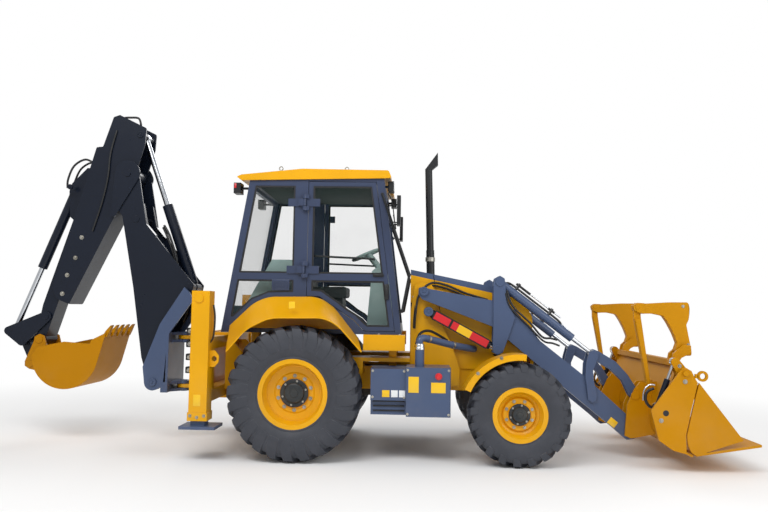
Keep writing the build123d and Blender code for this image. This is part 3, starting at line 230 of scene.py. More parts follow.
def lens(name, colour, glow=0.02):
    # A lamp's ribbed plastic lens.
    f = Finish(name)
    ribs = f.node("ShaderNodeTexWave", {"bands_direction": "Z"}, {"Vector": f.spot, "Scale": 38.0})
    tint = f.blend(ribs, shade(colour), tinted(colour, 1.5))
    return f.finish({"Base Color": tint, "Roughness": ribs * 0.1 + 0.08, "Coat Weight": 0.6,
                     "Emission Color": tint, "Emission Strength": glow, "Normal": f.bump(ribs, 0.3, 0.002)})


# A paint's third colour tints its edges: the lighter ones are a painted highlight along the edges, the darker ones
# (digging bucket, white plate) are wear.
finishes = {
    "yellowPaint": paint("yellow_paint", "e8a800", "f0c850", coat=0.16, edge=0.3, dust=0.05, shine=0.22),
    "ochrePaint": paint("ochre_paint", "c48600", "d8a43c", 0.44, coat=0.05, edge=0.3, dust=0.03, shine=0.12),
    "diggingPaint": paint("digging_bucket_paint", "b87c00", "7d5b2a", 0.50, 0.03, 0.5, dust=0.05, shine=0.12),
    "slatePaint": paint("slate_paint", "465676", "8090ac", 0.36, coat=0.22, dust=0.05),
    "cabPaint": paint("cab_paint", "36415c", "6f7c98", 0.32, coat=0.25, edge=0.3, dust=0.05),
    "darkPaint": paint("boom_paint", "131a28", "3a4658", 0.30, coat=0.14, edge=0.3, dust=0.01, shine=0.25),
    "blackPaint": paint("black_paint", "1b1d20", "4b4e52", 0.42, coat=0.20, edge=0.4, dust=0.12),
    "castPaint": paint("cast_block", "2b2c2e", "55504a", 0.62, coat=0.0, edge=0.5, dust=0.3),
    "hubPaint": paint("hub_paint", "1f262b", "4f565c", 0.40, coat=0.25, edge=0.5, soften=0.003),
    "tyreRubber": rubber("tyre_rubber", "34373f", "4a4c54", 0.6),
    "hoseRubber": rubber("hose_rubber", "17181a", "303133", 0.45, grain=300, dust=0.3),
    "sealRubber": rubber("seal_rubber", "141517", "2b2c2e", 0.6, grain=240, dust=0.3),
    "chrome": metal("chrome_rod", "d9dde2", "b9bec6", 0.14),
    "boltSteel": metal("bolt_steel", "b9b6ad", "8b877c", 0.34),
    "blackTrim": plastic("black_trim", "16181b", "26292d", 0.48),
    "cabTrim": plastic("cab_trim", "8fa8a4", "a6bbb7", 0.55, seat="1d2426"),
    "headLining": plastic("head_lining", "2a3a38", "34453f", 0.85, grain=90),
    "tintedGlass": glass("tinted_glass", "2c4440", clear=0.045),
    "lampClear": lens("lamp_clear", "dfe6ea"),
    "lampRed": lens("lamp_red", "b5121a"),
    "signalRed": paint("signal_red", "d8202a", "ec5a62", 0.28, coat=0.5),
    "plateYellow": paint("plate_yellow", "f6c51e", "f9dc78", 0.30, coat=0.4),
    "plateWhite": paint("plate_white", "e9ecee", "c9cdd0", 0.32, coat=0.4),
}
nodeFinish = {
    "yellowPaint": "rear_rim_left rear_rim_right front_rim_left front_rim_right rear_fenders cab_roof hood cowl "
                   "main_frame rear_frame carriage knuckle_left knuckle_right",
    "ochrePaint": "loader_bucket bucket_clam forks fork_tines",
    "diggingPaint": "hoe_bucket",
    "slatePaint": "side_tanks loader_arms tilt_levers tilt_links tilt_barrels kingpost hood_lid cowl_lid "
                  "stabiliser_left stabiliser_right",
    "cabPaint": "cab_frame door_left door_right",
    "darkPaint": "boom dipper rocker hoe_barrel crowd_barrel boom_barrel inner_dipper hoe_link clam_barrels",
    "blackPaint": "rear_axle front_axle exhaust cab_fittings lift_barrels",
    "castPaint": "engine",
    "chrome": "lift_rods tilt_rods clam_rods boom_rod crowd_rod hoe_rod",
    "tintedGlass": "cab_glass door_glass_left door_glass_right",
    "cabTrim": "cab_interior",
    "tyreRubber": "rear_tyre_left rear_tyre_right front_tyre_left front_tyre_right",
}
for finishName, names in nodeFinish.items():
    for name in names.split():
        for materialSlot in nodes[name].material_slots:
            materialSlot.material = finishes[finishName]
print("finishes:", len(finishes))


def keepPiece(name, bm, finishNames, body, replaced=(), smoothTo=40):
    # The bmesh becomes a piece that rides on a body. Edges sharper than smoothTo degrees stay sharp.
    bmesh.ops.remove_doubles(bm, verts=bm.verts, dist=0.00002)
    bmesh.ops.recalc_face_normals(bm, faces=bm.faces)
    mesh = bpy.data.meshes.new(name)
    for face in bm.faces:
        face.smooth = True
    for edge in bm.edges:
        if len(edge.link_faces) == 2 and edge.calc_face_angle(0) > radians(smoothTo):
            edge.smooth = False
    bm.to_mesh(mesh)
    bm.free()
    piece = bpy.data.objects.new(name, mesh)
    bpy.context.scene.collection.objects.link(piece)
    for finishName in finishNames.split():
        mesh.materials.append(finishes[finishName])
    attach(piece, body)
    if replaced:
        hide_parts(*replaced)
    return piece


def paintNew(bm, before, paintSlot):
    # Every face made since then gets the piece's finish of that number.
    for face in set(bm.faces) - before:
        face.material_index = paintSlot


frameOrigin = 500  # how far ahead of the rear axle the frame's origin lies, in mm


def place(x, z, y):
    # A point from side-view millimetres: ahead of the rear axle, above the ground, left of the middle.
    return Vector(((x - frameOrigin) / 1000, y / 1000, z / 1000))


def alongPins(base, eye):
    # A way to find side-view points by their distance along the line of two pins and above it.
    base = Vector(base)
    run = (Vector(eye) - base).normalized()
    rise = Vector((-run.y, run.x))

    def at(along, above):
        return base + run * along + rise * above

    return at


def spun(bm, profile, centre, axis, steps=32, paintSlot=0):
    # A profile of (distance along the axis, radius) turned once about the axis.
    axis = Vector(axis)
    out = axis.orthogonal().normalized()
    chain = [bm.verts.new(Vector(centre) + axis * y + out * r) for y, r in profile]
    edges = [bm.edges.new(pair) for pair in zip(chain, chain[1:])]
    before = set(bm.faces)
    bmesh.ops.spin(bm, geom=chain + edges, cent=centre, axis=axis, angle=2 * pi, steps=steps, use_merge=True)
    paintNew(bm, before, paintSlot)


def bandProfile(half, outer, inner):
    # The section of a flat ring.
    return ((-half, outer), (half, outer), (half, inner), (-half, inner), (-half, outer))


def pinProfile(half, r):
    # The section of a plain round pin.
    return ((-half, 0), (-half, r), (half, r), (half, 0))


def lofted(bm, rings, paintSlot=0):
    # A closed body through rings that have as many corners each.
    before = set(bm.faces)
    loops = [[bm.verts.new(corner) for corner in ring] for ring in rings]
    for near, far in zip(loops, loops[1:]):
        for i in range(len(near)):
            bm.faces.new((near[i - 1], near[i], far[i], far[i - 1]))
    bm.faces.new(loops[0])
    bm.faces.new(loops[-1])
    paintNew(bm, before, paintSlot)


def bolt(bm, centre, axis, r, height, paintSlot=0):
    # A hexagon head with a washer under it.
    turn = Vector((0, 0, 1)).rotation_difference(Vector(axis)).to_matrix().to_4x4()
    washer = height * 0.2
    before = set(bm.faces)
    # radius below and above, bottom, top, sides
    for low, high, bottom, top, sides in ((r * 1.45, r * 1.45, 0, washer, 14), (r, r * 0.9, washer, height, 6)):
        where = Matrix.Translation(centre) @ turn @ Matrix.Translation((0, 0, (bottom + top) / 2))
        bmesh.ops.create_cone(bm, cap_ends=True, segments=sides, radius1=low, radius2=high, depth=top - bottom,
                              matrix=where)
    paintNew(bm, before, paintSlot)


def boltCircle(bm, centre, axis, beside, ring, paintSlot=0):
    # Bolts evenly round a circle, which starts from the frame's X and turns toward beside.
    for i in range(ring["count"]):
        a = 2 * pi * i / ring["count"] + ring["turn"]
        spot = centre + (Vector((1, 0, 0)) * cos(a) + Vector(beside) * sin(a)) * ring["radius"]
        bolt(bm, spot, axis, ring["size"], ring["height"], paintSlot)


def softBox(bm, low, high, edge=0.004, paintSlot=0):
    # A box between two corners with rounded edges.
    low, high = Vector(low), Vector(high)
    before = set(bm.faces)
    where = Matrix.Translation((low + high) / 2) @ Matrix.Diagonal((*(high - low), 1))
    made = bmesh.ops.create_cube(bm, size=1, matrix=where)
    edges = {each for vert in made["verts"] for each in vert.link_edges}
    bmesh.ops.bevel(bm, geom=list(edges), offset=edge, affect="EDGES", segments=2, profile=0.5, material=-1)
    paintNew(bm, before, paintSlot)


def sideBox(bm, s, low, high, reach, edge, paintSlot=0):
    # A soft box on one side, from two side-view corners and how far out it starts and ends.
    y0, y1 = sorted((s * reach[0], s * reach[1]))
    softBox(bm, place(*low, y0), place(*high, y1), edge, paintSlot)


def curvePoint(a, b, c, d, t):
    # The point at share t from b to c on the smooth curve through all four.
    bend = 2 * a - 5 * b + 4 * c - d
    twist = 3 * b - a - 3 * c + d
    return 0.5 * (2 * b + (c - a) * t + bend * t ** 2 + twist * t ** 3)


def tube(bm, points, r, sides=10, steps=6, paintSlot=0):
    # A round hose that runs smoothly through its side-view points.
    corners = [place(*point) for point in points]
    chain = [corners[0], *corners, corners[-1]]
    line = []
    for four in zip(chain, chain[1:], chain[2:], chain[3:]):
        line += [curvePoint(*four, i / steps) for i in range(steps)]
    line.append(corners[-1])
    rings = []
    angles = [2 * pi * k / sides for k in range(sides)]
    across = (line[1] - line[0]).orthogonal().normalized()
    for i, spot in enumerate(line):
        ahead = (line[min(i + 1, len(line) - 1)] - line[max(i - 1, 0)]).normalized()
        across = (across - ahead * across.dot(ahead)).normalized()
        beside = ahead.cross(across)
        rings.append([spot + (across * cos(a) + beside * sin(a)) * r for a in angles])
    lofted(bm, rings, paintSlot)


def sideFace(bm, outline, y):
    return bm.faces.new([bm.verts.new(place(x, z, y)) for x, z in outline])


def pushOut(bm, geom, y0, y1):
    # Faces drawn out sideways; the new vertices come back.
    made = bmesh.ops.extrude_face_region(bm, geom=geom)["geom"]
    far = [each for each in made if isinstance(each, bmesh.types.BMVert)]
    bmesh.ops.translate(bm, verts=far, vec=(0, (y1 - y0) / 1000, 0))
    return far


def frameRing(bm, outline, width, y0, y1):
    # A flat band inside a closed side outline.
    before = set(bm.faces)
    face = sideFace(bm, outline, y0)
    face.normal_update()
    bmesh.ops.inset_region(bm, faces=[face], thickness=width, use_even_offset=True, use_boundary=True)
    bm.faces.remove(face)
    pushOut(bm, [each for each in bm.faces if each not in before], y0, y1)


def runsAcross(edge):
    # Whether an edge joins a plate's two sides.
    return abs(edge.verts[0].co.y - edge.verts[1].co.y) > 0.001


def plateBody(bm, outline, y0, y1, corner=0.012, edge=0.003):
    # A plate cut to a side outline, with rounded corners and softened rims.
    face = sideFace(bm, outline, y0)
    whole = set(pushOut(bm, [face], y0, y1)) | set(face.verts)
    upright = [each for each in {e for vert in whole for e in vert.link_edges} if runsAcross(each)]
    rounded = bmesh.ops.bevel(bm, geom=upright, offset=corner, affect="EDGES", segments=4, profile=0.5, material=-1)
    walls = set(rounded["faces"]) | {f for e in upright if e.is_valid for f in e.link_faces}
    rims = {e for f in walls for e in f.edges if not runsAcross(e)}
    bmesh.ops.bevel(bm, geom=list(rims), offset=edge, affect="EDGES", segments=1, profile=0.5, material=-1)


tyreSpec = {
    # A row of a lug: share of the half width, share of the wall's height, sweep and width as shares of the
    # pitch, height in metres.
    "rear": {"lugs": 24, "rimR": 0.338, "crown": 0.885,
             "lug": ((-0.05, 0.885, 0.0, 0.36, 0.036), (0.30, 0.88, 0.25, 0.44, 0.037),
                     (0.62, 0.87, 0.48, 0.52, 0.037), (0.84, 0.83, 0.66, 0.62, 0.030),
                     (0.925, 0.74, 0.76, 0.78, 0.016), (0.965, 0.62, 0.84, 0.86, 0.010),
                     (0.975, 0.44, 0.88, 0.88, 0.007), (0.955, 0.30, 0.90, 0.86, 0.004))},
    "front": {"lugs": 20, "rimR": 0.264, "crown": 0.84,
              "lug": ((-0.08, 0.84, 0.0, 0.40, 0.036), (0.30, 0.84, 0.30, 0.46, 0.037),
                      (0.64, 0.83, 0.60, 0.52, 0.036), (0.86, 0.80, 0.72, 0.56, 0.030),
                      (0.93, 0.72, 0.76, 0.58, 0.016), (0.955, 0.62, 0.78, 0.52, 0.008))},
    "steps": 96,
    "root": 0.012,  # how deep a lug stands in the carcass, in metres
    "taper": 0.84,  # a lug's width at the top, as a share of its foot
    "withinWidth": 0.999,  # the share of the solid's size that the lugs keep inside
    "withinR": 0.9995,
    "smoothTo": 28,
    # The carcass from the bead to the middle: share of the half width, share of the wall's height.
    "wall": ((0.80, -0.06), (0.83, -0.02), (0.86, 0.03), (0.85, 0.07), (0.875, 0.10), (0.93, 0.20), (0.97, 0.34),
             (0.985, 0.48), (0.975, 0.62), (0.94, 0.74), (0.86, 0.83), (0.64, 0.87), (0.32, 0.885), (0.0, 0.89)),
}


def makeCarcass(bm, end, centre, half, span):
    # The smooth tyre under the lugs, with its upper half lowered to the tyre's own crown.
    rimR = tyreSpec[end]["rimR"]
    drop = tyreSpec[end]["crown"] - tyreSpec["wall"][-1][1]
    wall = [(a * half, rimR + span * (u + drop * max(0, u - 0.5) * 2)) for a, u in tyreSpec["wall"]]
    spun(bm, wall + [(-y, r) for y, r in reversed(wall[:-1])], centre, (0, 1, 0), tyreSpec["steps"])


def makeLug(bm, end, centre, half, tyreR, s, start):
    # One slanted lug from the middle of the tread down the wall.
    spec = tyreSpec[end]
    span = tyreR - spec["rimR"]
    pitch = 2 * pi / spec["lugs"]
    root, taper = tyreSpec["root"], tyreSpec["taper"]
    rows = spec["lug"]
    rings = []
    for j, (out, up, sweep, share, height) in enumerate(rows):
        before, after = rows[max(j - 1, 0)], rows[min(j + 1, len(rows) - 1)]
        normal = Vector((-(after[1] - before[1]) * span, (after[0] - before[0]) * half)).normalized()
        turn = start - sweep * pitch
        width = share * pitch / 2
        ring = []
        for depth, side in ((-root, -1), (-root, 1), (height, taper), (height, -taper)):
            y = s * min(out * half + normal.x * depth, half * tyreSpec["withinWidth"])
            r = min(spec["rimR"] + span * up + normal.y * depth, tyreR * tyreSpec["withinR"])
            a = turn + side * width
            ring.append(centre + Vector((r * cos(a), y, r * sin(a))))
        rings.append(ring)
    lofted(bm, rings)


def makeTyre(end, hand):
    low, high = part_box(f"{end}_tyre_{hand}")
    centre = (low + high) / 2
    half = (high.y - low.y) / 2
    tyreR = (high.z - low.z) / 2
    lugs = tyreSpec[end]["lugs"]
    bm = bmesh.new()
    makeCarcass(bm, end, centre, half, tyreR - tyreSpec[end]["rimR"])
    for s, offset in ((1, 0), (-1, 0.5)):
        for i in range(lugs):
            makeLug(bm, end, centre, half, tyreR, s, 2 * pi / lugs * (i + offset))
    keepPiece(f"tyre_{end}_{hand}", bm, "tyreRubber", nodeBody[f"{end}_tyre_{hand}"],
              (f"{end}_tyre_{hand}",), tyreSpec["smoothTo"])


for end in ("rear", "front"):
    for hand in ("left", "right"):
        makeTyre(end, hand)
print("tyres done")


hubSpec = {
    # The faces of the hub and the disc are measured from the tyre's middle, in metres.
    "rear": {"face": 0.084, "disc": 0.064, "hubR": 0.139, "boltR": 0.166, "bolts": 10, "size": 0.013},
    "front": {"face": 0.0758, "disc": 0.0558, "hubR": 0.105, "boltR": 0.132, "bolts": 8, "size": 0.011},
    # distance beyond the hub's face, share of the hub's radius
    "profile": ((-0.012, 1), (0.004, 1), (0.008, 0.96), (0.008, 0.74), (0.022, 0.70), (0.030, 0.62),
                (0.030, 0.30), (0.036, 0.27), (0.036, 0)),
    "capBolts": {"count": 6, "turn": 0.3, "size": 0.007, "height": 0.009},
    "capBoltR": 0.85,  # as a share of the hub's radius
    "capBoltFace": 0.007,
    "boltHeight": 0.018,
}


def makeHub(end, hand, s):
    # The hub's stepped cap with its bolts, and the wheel bolts round it.
    spec = hubSpec[end]
    low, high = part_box(f"{end}_rim_{hand}")
    centre = (low + high) / 2
    axis, up = (0, s, 0), (0, 0, 1)
    capRing = {**hubSpec["capBolts"], "radius": hubSpec["capBoltR"] * spec["hubR"]}
    wheelRing = {"count": spec["bolts"], "turn": pi / spec["bolts"], "radius": spec["boltR"], "size": spec["size"],
                 "height": hubSpec["boltHeight"]}
    bm = bmesh.new()
    spun(bm, [(spec["face"] + y, share * spec["hubR"]) for y, share in hubSpec["profile"]], centre, axis, 48)
    boltCircle(bm, centre + Vector((0, s * (spec["face"] + hubSpec["capBoltFace"]), 0)), axis, up, capRing, 1)
    boltCircle(bm, centre + Vector((0, s * (spec["disc"] - 0.001), 0)), axis, up, wheelRing, 1)
    keepPiece(f"hub_{end}_{hand}", bm, "hubPaint boltSteel", nodeBody[f"{end}_rim_{hand}"])


for end in ("rear", "front"):
    for hand, s in hands:
        makeHub(end, hand, s)
print("hubs done")


cabSpec = {
    "half": 735,  # from the middle to the outside of the cab's side
    "sealWidth": 0.018,
    "sealReach": (-15.5, -3),  # from the cab's side, as are the reaches of the boxes and the bar
    "windows": {
        "door": (((105, 1838), (105, 2742), (712, 2742), (838, 1838)),
                 ((105, 1770), (105, 1660), (205, 1655), (375, 1540), (470, 1466), (560, 1414), (645, 1333),
                  (682, 1305), (912, 1305), (848, 1770))),
        "quarter": (((-78, 1838), (-78, 2742), (-495, 2742), (-645, 1838)),
                    ((-78, 1770), (-78, 1645), (-330, 1637), (-500, 1565), (-690, 1385), (-718, 1385),
                     (-656, 1770))),
    },
    # low corner, high corner, reach, rounding
    "latch": (((735, 1812), (845, 1846), (0.5, 16), 0.005), ((748, 1820), (825, 1838), (12, 30), 0.006)),
    "handle": (((852, 1580), (900, 1740), (1, 24), 0.012), ((862, 1610), (890, 1700), (5, 28), 0.008)),
    "vent": (((-300, 1660), (-118, 1775), (-1, 6), 0.004),
             *[((-286, z), (-132, z + 7), (4, 10), 0.002) for z in range(1674, 1750, 15)]),
    "bar": ((140, 2020, -38), (150, 2020, -50), (420, 2010, -50), (700, 2000, -50), (745, 1990, -38)),
    "barR": 0.011,
    # low corner, high corner, distances from the middle, paint slot
    "lamps": (((-739, 2676), (-734, 2770), (552, 683), 0), ((934, 2708), (939, 2798), (552, 683), 0),
              ((-728, 2720), (-706, 2770), (688, 696), 1)),
    "lampEdge": 0.002,
}
cabHalf = cabSpec["half"]


def makeSeals(hand, s):
    # The rubber bands round the door's panes and the rear side panes.
    near, far = (s * (cabHalf + reach) for reach in cabSpec["sealReach"])
    for kind, body in (("door", f"door_{hand}"), ("quarter", "chassis")):
        bm = bmesh.new()
        for outline in cabSpec["windows"][kind]:
            frameRing(bm, outline, cabSpec["sealWidth"], near, far)
        keepPiece(f"{kind}_seal_{hand}", bm, "sealRubber", body)


def makePanelBoxes(name, hand, s, kind, finishName, body):
    # A fitting made of soft boxes on the cab's side.
    bm = bmesh.new()
    for low, high, reach, edge in cabSpec[kind]:
        sideBox(bm, s, low, high, [cabHalf + each for each in reach], edge)
    keepPiece(f"{name}_{hand}", bm, finishName, body)


def makeInnerBar(hand, s):
    bm = bmesh.new()
    tube(bm, [(x, z, s * (cabHalf + reach)) for x, z, reach in cabSpec["bar"]], cabSpec["barR"])
    keepPiece(f"door_inner_bar_{hand}", bm, "blackTrim", f"door_{hand}")


def makeLenses(hand, s):
    # The front and rear work lamps' lenses, and the red marker on the side.
    bm = bmesh.new()
    for low, high, reach, paintSlot in cabSpec["lamps"]:
        sideBox(bm, s, low, high, reach, cabSpec["lampEdge"], paintSlot)
    keepPiece(f"lamp_lenses_{hand}", bm, "lampClear lampRed", "chassis")


for hand, s in hands:
    makeSeals(hand, s)
    makePanelBoxes("door_latch", hand, s, "latch", "blackTrim", f"door_{hand}")
    makeInnerBar(hand, s)
    makeLenses(hand, s)
print("cab trim done")


tankSpec = {
    "face": 1080,  # the tanks' outer face, from the middle, on the right
    "cap": (1218, 1095, -950),
    "capProfile": ((0, 0.050), (0.018, 0.050), (0.024, 0.046), (0.030, 0.044), (0.052, 0.044), (0.058, 0.040),
                   (0.060, 0)),
    "capTop": 1150,
    "capBolts": {"count": 6, "turn": 0, "radius": 0.030, "size": 0.004, "height": 0.006},
    # low corner, high corner, how far inside the outer face, paint slot
    "plates": (((1112, 690), (1212, 842), 0, 0), ((1330, 690), (1470, 790), 0, 0), ((858, 640), (930, 706), 30, 0),
               ((945, 640), (1010, 706), 30, 1), ((1022, 640), (1082, 706), 30, 1)),
    "plateReach": (-1, 2.5),
    "switch": (1402, 848),
    "switchProfile": ((0, 0.034), (0.006, 0.034), (0.010, 0.020), (0.022, 0.020), (0.028, 0.026), (0.034, 0.022),
                      (0.036, 0)),
    # places along, heights and distance from the middle of two fields of four bolts
    "bolts": (((1105, 1500), (485, 905), 1080), ((765, 1070), (640, 890), 1050)),
    "boltSize": (0.009, 0.008),
    "bars": {"x": (770, 1075), "z": (500, 545, 590), "height": 14, "reach": (998, 1012)},
}


def makeFillerCap():
    bm = bmesh.new()
    x, z, y = tankSpec["cap"]
    spun(bm, tankSpec["capProfile"], place(x, z, y), (0, 0, 1))
    boltCircle(bm, place(x, tankSpec["capTop"], y), (0, 0, 1), (0, 1, 0), tankSpec["capBolts"])
    keepPiece("filler_cap", bm, "chrome", "chassis")


def makeTankPlates():
    bm = bmesh.new()
    for low, high, inside, paintSlot in tankSpec["plates"]:
        reach = [tankSpec["face"] - inside + each for each in tankSpec["plateReach"]]
        sideBox(bm, -1, low, high, reach, 0.001, paintSlot)
    keepPiece("tank_plates", bm, "plateYellow plateWhite", "chassis")


def makeBatterySwitch():
    bm = bmesh.new()
    spun(bm, tankSpec["switchProfile"], place(*tankSpec["switch"], -tankSpec["face"]), (0, -1, 0), 28)
    keepPiece("battery_switch", bm, "signalRed", "chassis")


def makeTankBolts():
    bm = bmesh.new()
    for xs, zs, y in tankSpec["bolts"]:
        for x in xs:
            for z in zs:
                bolt(bm, place(x, z, -y), (0, -1, 0), *tankSpec["boltSize"])
    keepPiece("tank_bolts", bm, "boltSteel", "chassis")


def makeStepBars():
    bars = tankSpec["bars"]
    bm = bmesh.new()
    for z in bars["z"]:
        sideBox(bm, -1, (bars["x"][0], z), (bars["x"][1], z + bars["height"]), bars["reach"], 0.003)
    keepPiece("tank_step_bars", bm, "blackTrim", "chassis")


makeFillerCap()
makeTankPlates()
makeBatterySwitch()
makeTankBolts()
makeStepBars()
print("tanks done")


coverSpec = {
    "pins": ((1308, 1467), (2020, 1088)),  # of the lift cylinder
    # start and end along the cylinder, half width, inner and outer face, paint slot
    "strips": ((60, 700, 52, 572, 576, 2), (74, 250, 39, 576, 579.5, 0), (275, 345, 39, 576, 579.5, 0),
               (345, 495, 39, 576, 579.5, 1), (495, 692, 39, 576, 579.5, 0)),
}


def makeLiftCover(hand, s):
    # A black strip beside the lift cylinder with red and yellow plates on it.
    at = alongPins(*coverSpec["pins"])
    bm = bmesh.new()
    for start, stop, half, inner, outer, paintSlot in coverSpec["strips"]:
        corners = [at(start, -half), at(stop, -half), at(stop, half), at(start, half)]
        lofted(bm, [[place(c.x, c.y, s * y) for c in corners] for y in (inner, outer)], paintSlot)
    keepPiece(f"lift_cover_{hand}", bm, "signalRed plateYellow blackPaint", "lift_barrels")


for hand, s in hands:
    makeLiftCover(hand, s)
print("covers done")


pinHeads = {
    # body, finish, slot, then the side-view place, outer face and radius of each head
    "arm": ("chassis", "slatePaint", "slate_paint", ((1259, 1677, 595, 48), (1308, 1467, 595, 48))),
    "kingpost": ("kingpost", "slatePaint", "slate_paint", ((-1659, 661, 295, 44),)),
    "boom": ("boom", "darkPaint", "dark_paint", ((-2047, 2952, 205, 58), (-1938, 2443, 205, 36),
                                                 (-2130, 2640, 205, 22))),
    "dipper": ("dipper", "darkPaint", "dark_paint", ((-1935, 3395, 181, 34), (-2711, 2798, 178, 30))),
}
# distance beyond the outer face, share of the head's radius
pinHeadProfile = ((-0.012, 1), (0.003, 1), (0.006, 0.93), (0.006, 0.60), (0.003, 0.56), (0.003, 0.34),
                  (0.010, 0.30), (0.010, 0))
for name, (body, finishName, slot, heads) in pinHeads.items():
    for hand, s in hands:
        bm = bmesh.new()
        for x, z, y, r in heads:
            spun(bm, [(out, share * r / 1000) for out, share in pinHeadProfile], place(x, z, s * y), (0, s, 0))
        keepPiece(f"pin_heads_{name}_{hand}", bm, finishName, body)

boltHeads = {
    # body, then the side-view place, outer face and size of each bolt
    "dipper": ("dipper", ((-2553, 2230, 175, 17), (-2615, 2001, 175, 17), (-2699, 1808, 175, 17),
                          (-2745, 1600, 175, 17))),
    "front_fender": ("knuckle", ((1998, 1037, 1113, 12), (1775, 888, 1113, 12))),
    "leg": ("chassis", ((-975, 440, 1173, 11), (-840, 440, 1173, 11), (-908, 425, 1173, 11))),
    "cowl": ("chassis", ((1150, 1420, 415, 8), (1150, 1620, 415, 8), (1400, 1080, 415, 8))),
    "bucket": ("loader_bucket", ((3479, 488, 1170, 15), (3646, 1000, 1192, 13))),
    "clam": ("bucket_clam", ((3704, 853, 1170, 15),)),
    "side_frame": ("chassis", ((805, 1225, 735, 10), (1020, 1225, 735, 10))),
}
for name, (body, heads) in boltHeads.items():
    for hand, s in hands:
        bm = bmesh.new()
        for x, z, y, r in heads:
            bolt(bm, place(x, z, s * y), (0, s, 0), r / 1000, r / 1000)
        rideBody = f"knuckle_{hand}" if body == "knuckle" else body
        keepPiece(f"bolts_{name}_{hand}", bm, "boltSteel", rideBody)

plates = {
    # body, low corner, high corner, outer face and lean in degrees of each blank plate
    "fender": ("chassis", (-55, 1480), (5, 1545), 1130, 0),
    "leg": ("chassis", (-950, 530), (-880, 640), 1165, 0),
    "arm": ("loader_arms", (3140, 340), (3230, 410), 575, 38),
}
for name, (body, low, high, y, lean) in plates.items():
    for hand, s in hands:
        bm = bmesh.new()
        sideBox(bm, s, low, high, (y - 1, y + 1.5), 0.0008)
        if lean:
            middle = place((low[0] + high[0]) / 2, (low[1] + high[1]) / 2, 0)
            bmesh.ops.rotate(bm, verts=bm.verts, cent=middle, matrix=Matrix.Rotation(radians(lean), 3, "Y"))
        keepPiece(f"plate_{name}_{hand}", bm, "plateYellow", body)


valanceSpec = {
    "outline": ((1470, 1110), (1990, 1035), (2060, 960), (2060, 870), (1500, 870)),
    "reach": (335, 343),
    "corner": 0.02,
    "edge": 0.002,
}


def makeValances():
    # Plates under the hood's sides, beside the engine.
    near, far = valanceSpec["reach"]
    bm = bmesh.new()
    for s in (1, -1):
        plateBody(bm, valanceSpec["outline"], s * near, s * far, valanceSpec["corner"], valanceSpec["edge"])
    keepPiece("hood_valances", bm, "yellowPaint", "chassis")


forkSpec = {
    "shank": ((3841, 1600), (3856, 1540), (3846, 1432), (3820, 1380), (3866, 1150), (3868, 1080), (3770, 1078),
              (3706, 1125), (3732, 1200), (3692, 1303), (3644, 1395), (3600, 1464), (3500, 1484), (3405, 1482),
              (3400, 1580), (3666, 1598)),
    "shankReach": (815, 895),
    "shankCorner": 0.016,
    "cheek": ((3420, 1480), (3380, 1484), (3320, 1510), (3310, 1560), (3345, 1588), (3420, 1585)),
    "cheekReaches": ((812, 840), (870, 898)),
    "middle": 855,
    # side-view place, radius and steps of each pin
    "pins": ((3352, 1545, 0.020, 24), (3812, 1147, 0.040, 32)),
    "pinHalf": 0.044,
    "bolts": ((3790, 1560), (3838, 1185)),
    "boltSize": (0.011, 0.010),
    "smoothTo": 30,
}


def makeForkCarriers():
    # The fold-over forks' carriers: a curved shank and a bar with two cheeks on each side.
    near, far = forkSpec["shankReach"]
    bm = bmesh.new()
    for s in (1, -1):
        plateBody(bm, forkSpec["shank"], s * near, s * far, forkSpec["shankCorner"])
        for inner, outer in forkSpec["cheekReaches"]:
            plateBody(bm, forkSpec["cheek"], s * inner, s * outer, 0.008, 0.002)
        for x, z, r, steps in forkSpec["pins"]:
            spun(bm, pinProfile(forkSpec["pinHalf"], r), place(x, z, s * forkSpec["middle"]), (0, 1, 0), steps)
        for x, z in forkSpec["bolts"]:
            bolt(bm, place(x, z, s * far), (0, s, 0), *forkSpec["boltSize"], 1)
    keepPiece("fork_carriers", bm, "ochrePaint boltSteel", "forks", ("forks",), forkSpec["smoothTo"])


bucketSpec = {
    "eye": (3872, 905, 1150),
    "eyeBand": (0.012, 0.050, 0.027),  # half width, outer and inner radius
    "eyeFoot": ((3800, 885), (3832, 925)),
    "eyeFootHalf": 12,
    # The port is a dark disc of painted shade where the bucket's side has a hole.
    "port": (3524, 557, 1170),
    "portShadeProfile": ((0, 0.028), (0.0015, 0.027), (0.0015, 0)),
}


def makeLiftingEye(hand, s):
    # The eye on the jaw's side.
    x, z, y = bucketSpec["eye"]
    half = bucketSpec["eyeFootHalf"]
    bm = bmesh.new()
    spun(bm, bandProfile(*bucketSpec["eyeBand"]), place(x, z, s * y), (0, s, 0))
    sideBox(bm, s, *bucketSpec["eyeFoot"], (y - half, y + half), 0.003)
    keepPiece(f"lifting_eye_{hand}", bm, "ochrePaint", "bucket_clam")


def makeBucketPortShade(hand, s):
    # The round hole in the bucket's side, as a dark disc: painted shade for the shadowed inside of the hole.
    x, z, y = bucketSpec["port"]
    bm = bmesh.new()
    spun(bm, bucketSpec["portShadeProfile"], place(x, z, s * y), (0, s, 0), 28)
    keepPiece(f"bucket_port_shade_{hand}", bm, "blackTrim", "loader_bucket")


makeValances()
makeForkCarriers()
for hand, s in hands:
    makeLiftingEye(hand, s)
    makeBucketPortShade(hand, s)
print("heads and plates done")


